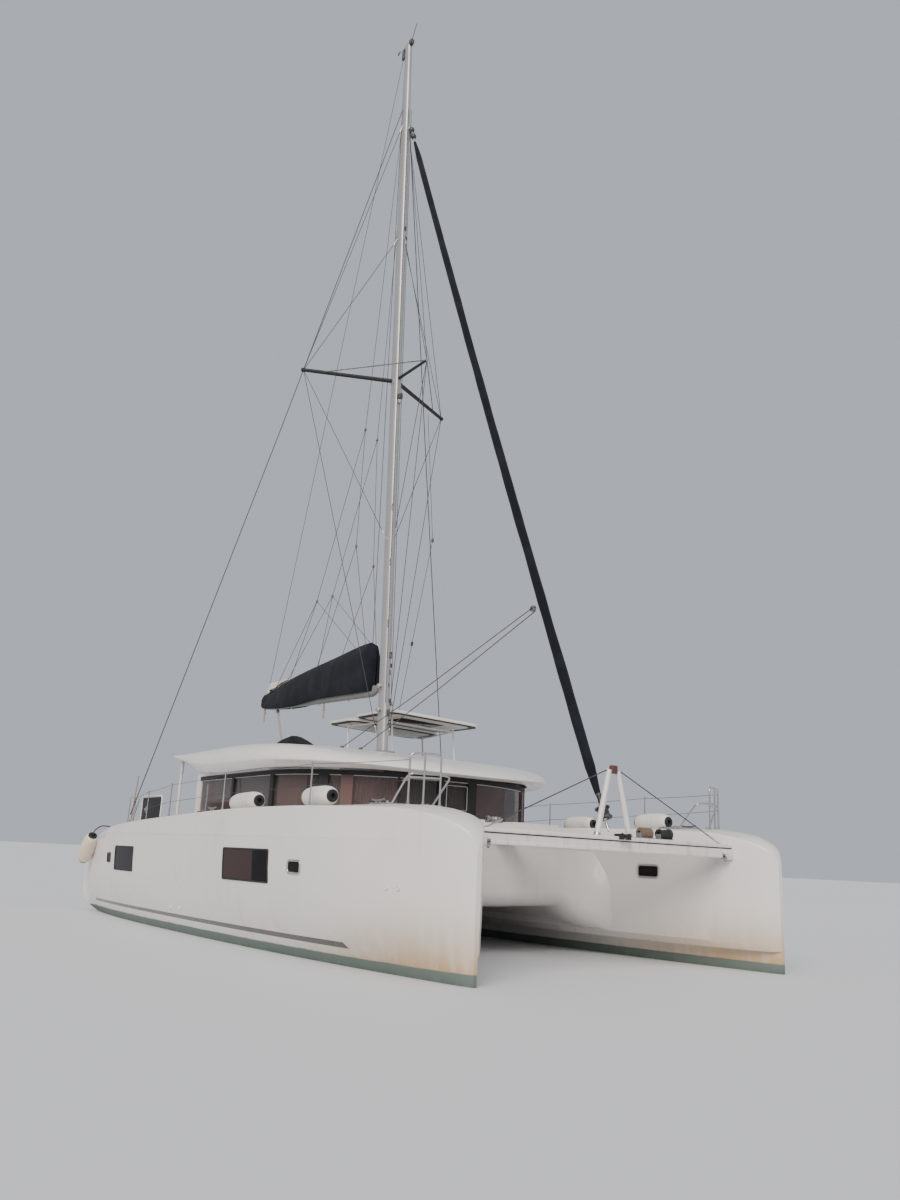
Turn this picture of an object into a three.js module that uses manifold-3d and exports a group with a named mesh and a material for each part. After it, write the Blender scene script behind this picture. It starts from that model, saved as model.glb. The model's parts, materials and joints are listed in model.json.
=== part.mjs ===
// A 12.8 m cruising sailing catamaran. Millimetres: +X forward, +Y to port, +Z up.
// The origin is on the centreline amidships, at the water's level.
import * as THREE from "three";
import { mergeVertices } from "three/addons/utils/BufferGeometryUtils.js";
import Module from "manifold-3d";

const wasm = await Module();
wasm.setup();

// Driving dimensions
const SEAT = 0.3; // gap between pieces that touch
const HULL_Y = 2830; // from the centreline to each hull's own middle
const BOW_X = 6400;
const STERN_X = -6400;
const CREASE_Z = 1600; // height of the soft crease along the topsides
const FLOOR_Z = 950; // saloon and cockpit floor
const FLOOR_UNDER_Z = 780; // underside of the deck between the hulls
const COAMING_Z = 2040; // flat base that the cabin stands on
const BULKHEAD_X = -3100; // aft wall of the saloon
const FOREDECK_X = 3300; // front edge of the solid foredeck

const CABIN = { front: 2200, half: 2600, wall: 60 };
const WINDOW = { low: 2085, high: 2660, pane: 8, depth: 24 };
const ROOF = { front: 2780, half: 2920, aft: -4940, aftHalf: 2500, skin: 90 };

const MAST_FOOT = new THREE.Vector3(-500, 0, 3390);
const MAST_HEAD = new THREE.Vector3(-1320, 0, 20650);
const SHROUD_TOP_Z = 18650;
const SPREADER_Z = 11380;
const BOOM_FRONT = new THREE.Vector3(-780, 0, 4600);
const BOOM_AFT = new THREE.Vector3(-5980, 0, 4770);
const STAY_FOOT = new THREE.Vector3(5660, 0, 1880);
const STAY_HEAD = new THREE.Vector3(-960, 0, 18000);
const BEAM_X = 5750; // forward crossbeam
const BEAM = { low: 1620, high: 1790, depth: 130, end: 2330 };

const CHAINPLATE = [-3500, 3740];
const RUDDER_X = -5350;
const DRIVE_X = -3900;
const PROPELLER_Z = -800;

const WHEEL = { x: -1625, y: 1350, z: 3150, radius: 370, tilt: 20 };

const COLOURS = {
  gelcoat: [0xe9e4de, 0.35, 0],
  antifouling: [0x8fa79c, 0.8, 0],
  glass: [0x2a2224, 0.1, 0],
  aluminium: [0xb9b9b6, 0.4, 0.9],
  steel: [0xc9c9c9, 0.25, 1],
  black: [0x1c1d20, 0.5, 0],
  canvas: [0x20242e, 0.9, 0],
  vinyl: [0xece8df, 0.5, 0],
  net: [0xd8d5cc, 0.8, 0],
  bronze: [0x8a7450, 0.4, 0.9],
};

// Solids

function solidOf(geometry) {
  const bare = geometry.clone();
  bare.deleteAttribute("normal");
  bare.deleteAttribute("uv");
  const merged = mergeVertices(bare, 1e-3);
  const triVerts = new Uint32Array(merged.index.array);
  const make = () =>
    new wasm.Manifold(
      new wasm.Mesh({ numProp: 3, vertProperties: merged.attributes.position.array, triVerts }),
    );
  const made = make();
  if (made.volume() > 0) return made;
  for (let i = 0; i < triVerts.length; i += 3) {
    [triVerts[i + 1], triVerts[i + 2]] = [triVerts[i + 2], triVerts[i + 1]];
  }
  return make();
}

function geometryOf(solid) {
  const mesh = solid.getMesh();
  const positions = new Float32Array(mesh.numVert * 3);
  for (let i = 0; i < mesh.numVert; i++) {
    positions.set(mesh.vertProperties.subarray(i * mesh.numProp, i * mesh.numProp + 3), i * 3);
  }
  return new THREE.BufferGeometry()
    .setAttribute("position", new THREE.BufferAttribute(positions, 3))
    .setIndex(new THREE.BufferAttribute(mesh.triVerts, 1));
}

const union = (solids) => solids.reduce((all, one) => all.add(one));

// The largest of the bodies that a cut leaves.
const largest = (solid) => solid.decompose().sort((a, b) => b.volume() - a.volume())[0];

const range = (count) => Array.from({ length: count }, (_, i) => i);

// A box between two corners.
function box([x0, y0, z0], [x1, y1, z1]) {
  const geometry = new THREE.BoxGeometry(Math.abs(x1 - x0), Math.abs(y1 - y0), Math.abs(z1 - z0));
  geometry.translate((x0 + x1) / 2, (y0 + y1) / 2, (z0 + z1) / 2);
  return solidOf(geometry);
}

// A straight round bar between two points, with its own radius at each end.
function bar(from, to, radius, sides = 8, endRadius = radius) {
  const along = new THREE.Vector3().subVectors(to, from);
  const geometry = new THREE.CylinderGeometry(endRadius, radius, along.length(), sides);
  geometry.translate(0, along.length() / 2, 0);
  geometry.applyQuaternion(
    new THREE.Quaternion().setFromUnitVectors(new THREE.Vector3(0, 1, 0), along.clone().normalize()),
  );
  geometry.translate(from.x, from.y, from.z);
  return solidOf(geometry);
}

const point = (x, y, z) => new THREE.Vector3(x, y, z);

// A bent tube: straight runs between the points, joined at the corners by balls of the same radius.
function bentTube(points, radius, sides = 6) {
  const runs = points.slice(1).map((p, i) => bar(points[i], p, radius, sides));
  const corners = points.slice(1, -1).map((p) => {
    const ball = new THREE.IcosahedronGeometry(radius * 1.04, 0);
    ball.translate(p.x, p.y, p.z);
    return solidOf(ball);
  });
  return union([...runs, ...corners]);
}

// A closed body through rings that have the same number of points, with flat ends.
function loft(rings) {
  const count = rings[0].length;
  const positions = rings.flat().flatMap((p) => [p.x, p.y, p.z]);
  const index = [];
  for (const r of range(rings.length - 1)) {
    for (const i of range(count)) {
      const a = r * count + i;
      const b = r * count + ((i + 1) % count);
      index.push(a, b, a + count, b, b + count, a + count);
    }
  }
  for (const [start, turned] of [[0, true], [(rings.length - 1) * count, false]]) {
    const ring = rings[start / count];
    const normal = new THREE.Vector3();
    ring.forEach((p, i) => normal.add(new THREE.Vector3().crossVectors(p, ring[(i + 1) % count])));
    const u = new THREE.Vector3().subVectors(ring[1], ring[0]).normalize();
    const v = new THREE.Vector3().crossVectors(normal.normalize(), u);
    const flat = ring.map((p) => new THREE.Vector2(p.dot(u), p.dot(v)));
    for (const [a, b, c] of THREE.ShapeUtils.triangulateShape(flat, [])) {
      index.push(...(turned ? [start + a, start + c, start + b] : [start + a, start + b, start + c]));
    }
  }
  const geometry = new THREE.BufferGeometry();
  geometry.setAttribute("position", new THREE.BufferAttribute(new Float32Array(positions), 3));
  geometry.setIndex(index);
  return solidOf(geometry);
}

// A flat outline in X and Y, extruded between two heights.
function slab(outline, low, high) {
  const shape = new THREE.Shape(outline.map(([x, y]) => new THREE.Vector2(x, y)));
  const geometry = new THREE.ExtrudeGeometry(shape, { depth: high - low, bevelEnabled: false });
  geometry.translate(0, 0, low);
  return solidOf(geometry);
}

// A rectangle in X and Y with round corners, as an outline for slab.
function roundedOutline(x0, x1, y0, y1, radius, steps = 3) {
  const corners = [[x1 - radius, y1 - radius, 0], [x0 + radius, y1 - radius, 1]];
  corners.push([x0 + radius, y0 + radius, 2], [x1 - radius, y0 + radius, 3]);
  return corners.flatMap(([cx, cy, turn]) =>
    range(steps + 1).map((i) => {
      const angle = ((turn + i / steps) * Math.PI) / 2;
      return [cx + radius * Math.cos(angle), cy + radius * Math.sin(angle)];
    }),
  );
}

// Leaves the seat's gap between a piece and the neighbour that it rests on. away points from the
// neighbour to the piece.
const seated = (piece, neighbour, away) =>
  piece.subtract(neighbour.translate(away.map((part) => part * SEAT)));

// Straight lines between the pairs of a short table.
function between(table, x) {
  const i = table.findIndex(([from]) => x >= from);
  if (i === 0) return table[0][1];
  if (i < 0) return table[table.length - 1][1];
  const [x1, v1] = table[i - 1];
  const [x0, v0] = table[i];
  return v0 + ((v1 - v0) * (x - x0)) / (x1 - x0);
}

const UP = [0, 0, 1];
const DOWN = [0, 0, -1];
const SIDES = [["starboard", -1], ["port", 1]];
const group = new THREE.Group();

function add(name, colour, solid) {
  const [color, roughness, metalness] = COLOURS[colour];
  const material = new THREE.MeshStandardMaterial({ color, roughness, metalness });
  const mesh = new THREE.Mesh(geometryOf(solid), material);
  mesh.name = name;
  group.add(mesh);
  return solid;
}

// Hulls

// x, half width at the water, outer half width, inner half width, depth below water, deck height, crown
const HULL_STATIONS = [
  [BOW_X, 20, 36, 36, 90, 1560, 10],
  [6320, 45, 125, 120, 260, 1720, 25],
  [6150, 90, 255, 235, 350, 1835, 40],
  [5850, 145, 410, 375, 420, 1930, 50],
  [5300, 230, 600, 570, 480, 2005, 50],
  [4400, 350, 795, 785, 540, 2020, 40],
  [3200, 470, 925, 960, 590, 2030, 15],
  [1600, 580, 995, 1070, 630, 2015, 4],
  [-400, 650, 1020, 1080, 640, 1955, 4],
  [-2600, 665, 1020, 1080, 610, 1865, 4],
  [-4500, 600, 980, 1080, 480, 1750, 4],
  [-5400, 520, 920, 1060, 320, 1600, 4],
  [-6050, 440, 850, 1020, 150, 1440, 4],
  [-6300, 400, 810, 990, 60, 1130, 4],
  [STERN_X, 380, 780, 970, 20, 700, 4],
];

// One cross-section of a hull: from its lowest point up the outside, over the deck and down the inside.
function hullRing(side, [x, water, outer, inner, depth, deck, crown]) {
  const edge = outer / 1000;
  const crease = Math.min(CREASE_Z, deck - 150);
  const chine = Math.min(400, deck - 350);
  const flare = (share) => water + (outer - water) * share;
  const section = [
    [0, -depth],
    [0.55 * water, -0.88 * depth],
    [0.9 * water, -0.45 * depth],
    [water, 0],
    [flare(0.6), 0.28 * crease],
    [flare(0.9), 0.6 * crease],
    [outer, crease],
    [outer - 50 * edge, deck - 55],
    [outer - 170 * edge, deck],
    [0, deck + crown],
    [-(inner - 150 * edge), deck],
    [-(inner - 35 * edge), deck - 50],
    [-inner, crease],
    [-inner * 0.985, chine],
    [-(water + 0.15 * (inner - water)), chine - 70],
    [-water, 0],
    [-0.9 * water, -0.45 * depth],
    [-0.55 * water, -0.88 * depth],
  ];
  return section.map(([out, z]) => point(x, side * (HULL_Y + out), z));
}

// Steps cut down into the stern of each hull: from x, to x, tread height
const STERN_STEPS = [
  [STERN_X - 50, -5960, 330],
  [-5960, -5600, 640],
  [-5600, -5240, 950],
  [-5240, -4880, 1260],
  [-4880, -4520, 1530],
];
const STEPS_OUTER = 580; // the steps' outer and inner edges, from the hull's middle
const STEPS_INNER = -810;

function hull(side) {
  const across = (out) => side * (HULL_Y + out);
  let made = loft(HULL_STATIONS.map((station) => hullRing(side, station)));
  // the flat base of the cabin, and the socket of the forward crossbeam
  made = made.add(box([-3180, across(-1075), 1500], [1250, across(-220), COAMING_Z]));
  const socket = [[BEAM_X - 130, side * BEAM.end, BEAM.low - 40], [BEAM_X + 130, across(-100), BEAM.high + 40]];
  made = made.add(box(...socket));
  // the stubs that carry the fin keel
  made = made.add(box([-1100, across(-110), -700], [1100, across(110), -200]));
  for (const [from, to, tread] of STERN_STEPS) {
    made = made.subtract(box([from, across(STEPS_INNER), tread], [to, across(STEPS_OUTER), 2500]));
  }
  const stock = bar(point(RUDDER_X, across(0), -900), point(RUDDER_X, across(0), 30), 31, 24);
  return made.subtract(stock);
}

const hulls = {};
for (const [name, side] of SIDES) hulls[name] = add("hull_" + name, "gelcoat", hull(side));

// x at the bottom, half thickness, x at the top, for a fin keel's leading edge, middle and trailing edge
function keel(side) {
  const foil = (front, back, half, z) =>
    [[front, 0], [front - 220, half], [(front + back) / 2, half], [back, 12], [back, -12]]
      .concat([[(front + back) / 2, -half], [front - 220, -half]])
      .map(([x, y]) => point(x, side * HULL_Y + y, z));
  return loft([foil(850, -850, 90, -1250), foil(1000, -1000, 105, -700 - SEAT)]);
}
for (const [name, side] of SIDES) add("keel_" + name, "antifouling", keel(side));

// The deck between the hulls: floor, arched underside and the foredeck with two open lockers

const LOCKER = { x0: 2560, x1: 3160, y0: 330, y1: 1230, low: 1150 };

function bridgedeck() {
  const arch = range(5).map((i) => {
    const angle = (i / 4) * (Math.PI / 2);
    return [1880 - 560 * Math.sin(angle), FLOOR_UNDER_Z - 320 * (1 - Math.sin(angle) ** 1.4)];
  });
  const half = [[1880, FLOOR_Z], ...arch];
  const outline = [...half, ...half.map(([y, z]) => [-y, z]).reverse()];
  const shape = new THREE.Shape(outline.map(([y, z]) => new THREE.Vector2(y, z)));
  const geometry = new THREE.ExtrudeGeometry(shape, { depth: FOREDECK_X + 5200, bevelEnabled: false });
  // the section's own axes become Y and Z, and its depth X
  geometry.applyMatrix4(new THREE.Matrix4().makeBasis(point(0, 1, 0), point(0, 0, 1), point(1, 0, 0)));
  geometry.translate(-5200, 0, 0);
  let made = solidOf(geometry);
  made = made.add(box([1800, -1990, FLOOR_Z - 20], [2420, 1990, COAMING_Z]));
  made = made.add(box([2400, -1990, FLOOR_Z - 20], [FOREDECK_X, 1990, 1990]));
  made = made.subtract(box([1700, -1950, FLOOR_Z], [2040, 1950, COAMING_Z - 60]));
  const nose = new THREE.BoxGeometry(1500, 5000, 900);
  nose.rotateY(-0.95);
  nose.translate(FOREDECK_X + 420, 0, 720);
  made = made.subtract(solidOf(nose));
  for (const side of [-1, 1]) {
    const well = [[LOCKER.x0, side * LOCKER.y0, LOCKER.low], [LOCKER.x1, side * LOCKER.y1, 2200]];
    made = made.subtract(box(...well));
  }
  for (const [name, side] of SIDES) made = seated(made, hulls[name], [0, -side, 0]);
  return largest(made);
}
add("bridgedeck", "gelcoat", bridgedeck());

for (const [name, side] of SIDES) {
  const lid = box(
    [LOCKER.x0 - 40, side * (LOCKER.y0 - 40), 1990 + SEAT],
    [LOCKER.x1 + 40, side * (LOCKER.y1 + 40), 2030],
  );
  add("locker_lid_" + name, "gelcoat", lid);
}

// The coachroof

// x, height of the roof's lower edge
const ROOF_EDGE = [
  [ROOF.front, 2695],
  [2000, 2760],
  [600, 2775],
  [-1200, 2770],
  [-2600, 2800],
  [-3900, 2900],
  [ROOF.aft, 3060],
];
// x, height of the roof's top on the centreline
const ROOF_TOP = [
  [ROOF.front, 2860],
  [2200, 2985],
  [860, 3195],
  [0, 3265],
  [-1000, 3325],
  [-2500, 3345],
  [-4000, 3350],
  [ROOF.aft, 3345],
];
const roofEdge = (x) => between(ROOF_EDGE, x);
const roofTop = (x) => between(ROOF_TOP, x);

// Plan of the roof or cabin: an ellipse ahead of x = 0 and straight sides behind it.
function plan(front, half, aft, aftHalf, steps = 12) {
  const nose = range(steps + 1).map((i) => {
    const angle = (0.5 - i / steps) * Math.PI;
    return [front * Math.cos(angle), half * Math.sin(angle)];
  });
  const straight = range(4).map((i) => {
    const share = 1 - i / 4;
    return [aft * share, half + (aftHalf - half) * share ** 2];
  });
  return [...straight, ...nose, ...straight.map(([x, y]) => [x, -y]).reverse()];
}

function roof() {
  const outline = plan(ROOF.front, ROOF.half, ROOF.aft, ROOF.aftHalf);
  const middle = (ROOF.front + ROOF.aft) / 2;
  // share of the plan, share of the way from the lower edge to the top
  const levels = [[0.985, 0], [1, 0.1], [0.997, 0.42], [0.97, 0.76], [0.89, 0.92], [0.6, 0.98], [0.15, 1]];
  const rings = levels.map(([scale, rise]) =>
    outline.map(([x, y]) => {
      const px = middle + (x - middle) * scale;
      return point(px, y * scale, roofEdge(px) + (roofTop(px) - roofEdge(px)) * rise);
    }),
  );
  const outside = loft(rings);
  const inner = plan(CABIN.front - 120, CABIN.half - 120, ROOF.aft + 250, ROOF.aftHalf - 200);
  const hollow = loft([
    inner.map(([x, y]) => point(x, y, 2500)),
    inner.map(([x, y]) => point(x, y, roofEdge(x) + 0.45 * (roofTop(x) - roofEdge(x)) - ROOF.skin / 2)),
    inner.map(([x, y]) => point(x * 0.9, y * 0.9, roofTop(x * 0.9) - ROOF.skin * 1.6)),
    inner.map(([x, y]) => point(x * 0.1, y * 0.1, roofTop(x * 0.1) - ROOF.skin)),
  ]);
  return outside.subtract(hollow);
}

// The helm's sunken well in the roof, on the port side
const WELL = { x0: -2950, x1: -1150, y0: 480, y1: 2230, floor: 2330, top: 3440, wall: 40 };

let coachroof = roof();
coachroof = coachroof.subtract(
  box([WELL.x0, WELL.y0, 2000], [WELL.x1, WELL.y1, 4000]),
);
add("coachroof", "gelcoat", coachroof);

function helmWell() {
  const { x0, x1, y0, y1, floor, top, wall } = WELL;
  const outside = box([x0 + SEAT, y0 + SEAT, floor], [x1 - SEAT, y1 - SEAT, top]);
  const inside = box([x0 + wall, y0 + wall, floor + wall], [x1 - wall, y1 - wall, top + 100]);
  const step = box([x0 + wall - 1, y1 - 560, floor + 1], [x0 + 360, y1 - wall + 1, floor + 560]);
  return outside.subtract(inside).add(step);
}
add("helm_well", "gelcoat", helmWell());

// Cabin walls, glass, aft bulkhead and sliding door

// A point of the cabin's plan: share runs from -2 at the starboard aft corner, over 0 at the nose, to 2.
function cabinPoint(share, inset) {
  const side = Math.sign(share);
  if (Math.abs(share) <= 1) {
    const angle = (share * Math.PI) / 2;
    return [(CABIN.front - inset) * Math.cos(angle), (CABIN.half - inset) * Math.sin(angle)];
  }
  return [(Math.abs(share) - 1) * BULKHEAD_X, side * (CABIN.half - inset)];
}

function cabinRibbon(from, to, outerInset, innerInset, low, high) {
  const steps = Math.max(2, Math.round(Math.abs(to - from) * 9));
  const shares = range(steps + 1).map((i) => from + ((to - from) * i) / steps);
  const corners = [...shares, ...[-1, 1].filter((s) => s > from && s < to)].sort((a, b) => a - b);
  const outside = corners.map((s) => cabinPoint(s, outerInset));
  const inside = corners.map((s) => cabinPoint(s, innerInset)).reverse();
  return slab([...outside, ...inside], low, high);
}

// name, from, to: stretches of the cabin's plan that are glazed
const GLAZING = [
  ["starboard", -1.95, -0.53],
  ["front", -0.5, 0.5],
  ["port", 0.53, 1.95],
];

function cabinHouse() {
  let made = cabinRibbon(-2, 2, 0, CABIN.wall, COAMING_Z + SEAT, 2860);
  for (const [, from, to] of GLAZING) {
    made = made.subtract(cabinRibbon(from, to, -60, CABIN.wall + 60, WINDOW.low, WINDOW.high));
  }
  return seated(made, coachroof, DOWN);
}
add("cabin_house", "gelcoat", largest(cabinHouse()));
for (const [name, from, to] of GLAZING) {
  const inset = 0.0002;
  const pane = cabinRibbon(
    from + inset,
    to - inset,
    WINDOW.depth,
    WINDOW.depth + WINDOW.pane,
    WINDOW.low + SEAT,
    WINDOW.high - SEAT,
  );
  add("window_" + name, "glass", pane);
}

const DOOR = { y0: 30, y1: 930, low: 1000, high: 2620, travel: 900 };

function bulkhead() {
  const aft = BULKHEAD_X - CABIN.wall;
  const front = BULKHEAD_X - SEAT;
  let made = box([aft, -CABIN.half, COAMING_Z + SEAT], [front, CABIN.half, 2950]);
  made = made.add(box([aft, -1900, FLOOR_Z + SEAT], [front, 1900, COAMING_Z + 200]));
  made = made.add(box([aft - 45, -980, FLOOR_Z + SEAT], [front, 980, DOOR.low - 26]));
  made = made.subtract(box([aft - 100, DOOR.y0, DOOR.low], [front + 100, DOOR.y1, DOOR.high]));
  for (const [y0, y1] of [[-2400, -1250], [1250, 2400]]) {
    made = made.subtract(box([aft - 100, y0, COAMING_Z + 80], [front + 100, y1, DOOR.high]));
  }
  for (const [name, side] of SIDES) {
    made = seated(made, hulls[name], [0, -side, 0]);
    made = seated(made, coachroof, [0, -side, 0]);
  }
  made = seated(made, coachroof, DOWN);
  return largest(made);
}
add("aft_bulkhead", "gelcoat", bulkhead());
add(
  "saloon_door",
  "glass",
  box(
    [BULKHEAD_X - CABIN.wall - 40, DOOR.y0 - 40, DOOR.low - 26 + SEAT],
    [BULKHEAD_X - CABIN.wall - SEAT, DOOR.y1 + 30, DOOR.high + 30],
  ),
);

for (const [name, side] of SIDES) {
  const post = bar(point(-4600, side * 2400, 1500), point(-4600, side * 2400, 3080), 32, 8);
  const cut = seated(seated(post, hulls[name], UP), coachroof, DOWN);
  add("roof_post_" + name, "aluminium", largest(cut));
}

// Forward crossbeam, catwalk, nets, striker and furler foot

function crossbeam() {
  const { low, high, depth, end } = BEAM;
  const half = depth / 2;
  let made = box([BEAM_X - half, -(end - SEAT), low], [BEAM_X + half, end - SEAT, high]);
  const groove = [[BEAM_X + half - 14, -end, low + 62], [BEAM_X + half + 50, end, low + 84]];
  made = made.subtract(box(...groove));
  const along = new THREE.Vector3().subVectors(STAY_HEAD, STAY_FOOT).normalize();
  const foot = STAY_FOOT.clone().addScaledVector(along, -110);
  return made.add(bar(foot, STAY_FOOT.clone().addScaledVector(along, 190), 16, 8));
}
const beam = add("crossbeam", "aluminium", crossbeam());

add(
  "catwalk",
  "gelcoat",
  box([FOREDECK_X + SEAT, -160, 1690], [BEAM_X - BEAM.depth / 2 - SEAT, 160, 1740]),
);

function striker() {
  const apex = point(BEAM_X, 0, 2690);
  const legs = [-1, 1].map((side) => bar(point(BEAM_X, side * 320, BEAM.high + 8), apex, 43, 8));
  const pads = [-1, 1].map((side) =>
    box([BEAM_X - 60, side * 255, BEAM.high + SEAT], [BEAM_X + 60, side * 385, BEAM.high + 24]),
  );
  const cap = box([BEAM_X - 45, -60, 2630], [BEAM_X + 45, 60, 2740]);
  return union([...legs, ...pads, cap]).subtract(beam.translate([0, 0, SEAT]));
}
add("gull_striker", "gelcoat", striker());

for (const [name, side] of SIDES) {
  const from = point(BEAM_X, side * (60 + SEAT), 2690);
  const stay = bar(from, point(BEAM_X, side * 2300, BEAM.high + SEAT + 8), 7, 6);
  const trimmed = stay.subtract(box([BEAM_X - 100, -60 - SEAT, 2500], [BEAM_X + 100, 60 + SEAT, 2900]));
  add("striker_stay_" + name, "steel", trimmed.subtract(beam.translate([0, 0, SEAT])));
}

const NET = { low: 1700, high: 1712 };
for (const [name, side] of SIDES) {
  const front = BEAM_X - BEAM.depth / 2 - SEAT;
  const net = box([FOREDECK_X + SEAT, side * (160 + SEAT), NET.low], [front, side * 2450, NET.high]);
  add("trampoline_" + name, "net", largest(seated(net, hulls[name], [0, -side, 0])));
}

add(
  "windlass",
  "steel",
  union([
    box([2900, -130, 1990 + SEAT], [3180, 130, 2100]),
    bar(point(3040, -210, 2110), point(3040, 210, 2110), 70, 10),
  ]),
);

// Mast, spreaders, shrouds

const mastX = (z) =>
  MAST_FOOT.x + ((MAST_HEAD.x - MAST_FOOT.x) * (z - MAST_FOOT.z)) / (MAST_HEAD.z - MAST_FOOT.z);
const MAST_AXIS = new THREE.Vector3().subVectors(MAST_HEAD, MAST_FOOT).normalize();
const GOOSENECK_X = mastX(BOOM_FRONT.z) - 205; // vertical pin behind the mast

function mastTube() {
  // height, half length fore and aft, half width
  const sections = [[MAST_FOOT.z - 170, 135, 85], [16500, 135, 85], [MAST_HEAD.z, 95, 62]];
  return loft(
    sections.map(([z, fore, half]) =>
      range(12).map((i) => {
        const angle = (i / 12) * Math.PI * 2;
        return point(mastX(z) + fore * Math.cos(angle), half * Math.sin(angle), z);
      }),
    ),
  );
}

function alongMast(z, back, radius, length, sides) {
  const middle = point(mastX(z) - back, 0, z);
  const from = middle.clone().addScaledVector(MAST_AXIS, -length / 2);
  return bar(from, middle.clone().addScaledVector(MAST_AXIS, length / 2), radius, sides);
}

function mast() {
  const tube = mastTube();
  const { z } = BOOM_FRONT;
  // two lugs and the pin of the gooseneck
  const lugs = [-1, 1].map((end) => {
    const height = z + end * 75;
    const lug = new THREE.BoxGeometry(180, 56, 22);
    lug.rotateY(Math.asin(MAST_AXIS.x));
    lug.translate(mastX(height) - 160, 0, height);
    return solidOf(lug);
  });
  const pin = alongMast(z, 205, 14, 190, 16);
  const truck = box([MAST_HEAD.x - 190, -45, 20600], [MAST_HEAD.x + 130, 45, 20640]);
  const along = new THREE.Vector3().subVectors(STAY_HEAD, STAY_FOOT).normalize();
  const tang = bar(
    STAY_HEAD.clone().addScaledVector(along, -60),
    STAY_HEAD.clone().addScaledVector(along, 160),
    18,
    8,
  );
  const ears = [-1, 1].map((side) =>
    box(
      [mastX(SHROUD_TOP_Z) - 60, side * 50, SHROUD_TOP_Z - 60],
      [mastX(SHROUD_TOP_Z) + 30, side * 110, SHROUD_TOP_Z + 60],
    ),
  );
  return seated(union([tube, ...lugs, pin, truck, tang, ...ears]), coachroof, UP);
}
const spar = largest(mast());
add("mast", "aluminium", spar);

for (const [name, side] of SIDES) {
  const root = point(mastX(SPREADER_Z) - 10, 0, SPREADER_Z);
  const arm = bar(root, point(-1730, side * 1810, SPREADER_Z), 46, 8, 26);
  const cut = arm.subtract(mastTube().translate([0, side * SEAT, 0]));
  add("spreader_" + name, "black", largest(cut));
}

{
  const root = point(mastX(SPREADER_Z), 0, SPREADER_Z);
  const arm = bar(root, point(mastX(SPREADER_Z) + 1180, 0, SPREADER_Z + 40), 30, 8, 18);
  const cut = arm.subtract(mastTube().translate([SEAT, 0, 0]));
  add("forward_strut", "black", largest(cut));
}

for (const [name, side] of SIDES) {
  const top = point(mastX(SHROUD_TOP_Z) - 20, side * 118, SHROUD_TOP_Z - 20);
  const stay = bar(top, point(CHAINPLATE[0], side * CHAINPLATE[1], 1700), 7, 6);
  let cut = stay.subtract(spar.translate([0, side * SEAT, 0]));
  cut = seated(cut, hulls[name], UP);
  add("shroud_" + name, "steel", largest(cut));
}

// Boom and sail bag, which swing on the gooseneck

function boomTube(grow) {
  // share of the length, half height, half width
  const sections = [[0.012, 70, 50], [0.05, 130, 85], [0.9, 125, 80], [1, 80, 60]];
  return loft(
    sections.map(([share, tall, half]) =>
      range(10).map((i) => {
        const angle = ((i + 0.5) / 10) * Math.PI * 2;
        const middle = new THREE.Vector3().lerpVectors(BOOM_FRONT, BOOM_AFT, share);
        const y = (half + grow) * Math.cos(angle);
        return point(middle.x, y, middle.z + (tall + grow) * Math.sin(angle));
      }),
    ),
  );
}

function boom() {
  const pivot = alongMast(BOOM_FRONT.z, 205, 34, 118, 16);
  const tongue = box([GOOSENECK_X - 140, -24, BOOM_FRONT.z - 40], [GOOSENECK_X, 24, BOOM_FRONT.z + 40]);
  const bore = alongMast(BOOM_FRONT.z, 205, 14.9, 260, 24);
  return union([boomTube(0), pivot, tongue]).subtract(bore);
}
add("boom", "aluminium", boom());

// x, bottom, top, half width of the bag that holds the lowered mainsail
const BAG_SECTIONS = [
  [-925, 4570, 5510, 110],
  [-1190, 4575, 5610, 190],
  [-2600, 4615, 5490, 200],
  [-4600, 4650, 5280, 170],
  [-5700, 4730, 5070, 100],
  [-6050, 4780, 5040, 70],
];
function sailBag() {
  const rings = BAG_SECTIONS.map(([x, low, high, half]) => {
    const rise = high - low;
    const side = [[0.75, 0], [1, 0.2], [0.9, 0.55], [0.35, 0.9]];
    const right = side.map(([w, h]) => point(x, w * half, low + h * rise));
    const left = side.map(([w, h]) => point(x, -w * half, low + h * rise)).reverse();
    return [...right, point(x, 0, high), ...left];
  });
  return loft(rings).subtract(boomTube(SEAT * 1.5));
}
add("sail_bag", "canvas", largest(sailBag()));

// Furled headsail and its drum, which turn on the forestay

const stayAlong = new THREE.Vector3().subVectors(STAY_HEAD, STAY_FOOT).normalize();
const onStay = (distance) => STAY_FOOT.clone().addScaledVector(stayAlong, distance);
const STAY_LENGTH = STAY_FOOT.distanceTo(STAY_HEAD);

// A round body on the stay, from pairs of distance along the stay and radius.
function turnedOnStay(profile, sides) {
  const outward = new THREE.Vector3(stayAlong.z, 0, -stayAlong.x);
  const rings = profile.map(([distance, radius]) =>
    range(sides).map((i) => {
      const angle = (i / sides) * Math.PI * 2;
      const ring = onStay(distance).addScaledVector(outward, radius * Math.cos(angle));
      ring.y = radius * Math.sin(angle);
      return ring;
    }),
  );
  return loft(rings);
}

const DRUM_PROFILE = [
  [190.5, 110],
  [214, 110],
  [216, 55],
  [329, 55],
  [331, 110],
  [352, 110],
  [354, 32],
  [560, 32],
];
add("furler_drum", "black", turnedOnStay(DRUM_PROFILE, 16));

const SAIL_PROFILE = [
  [560 + SEAT, 35],
  [900, 82],
  [STAY_LENGTH - 700, 62],
  [STAY_LENGTH - 60.5, 22],
];
add("furled_headsail", "canvas", turnedOnStay(SAIL_PROFILE, 12));

// Helm console, wheel and seat

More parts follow.
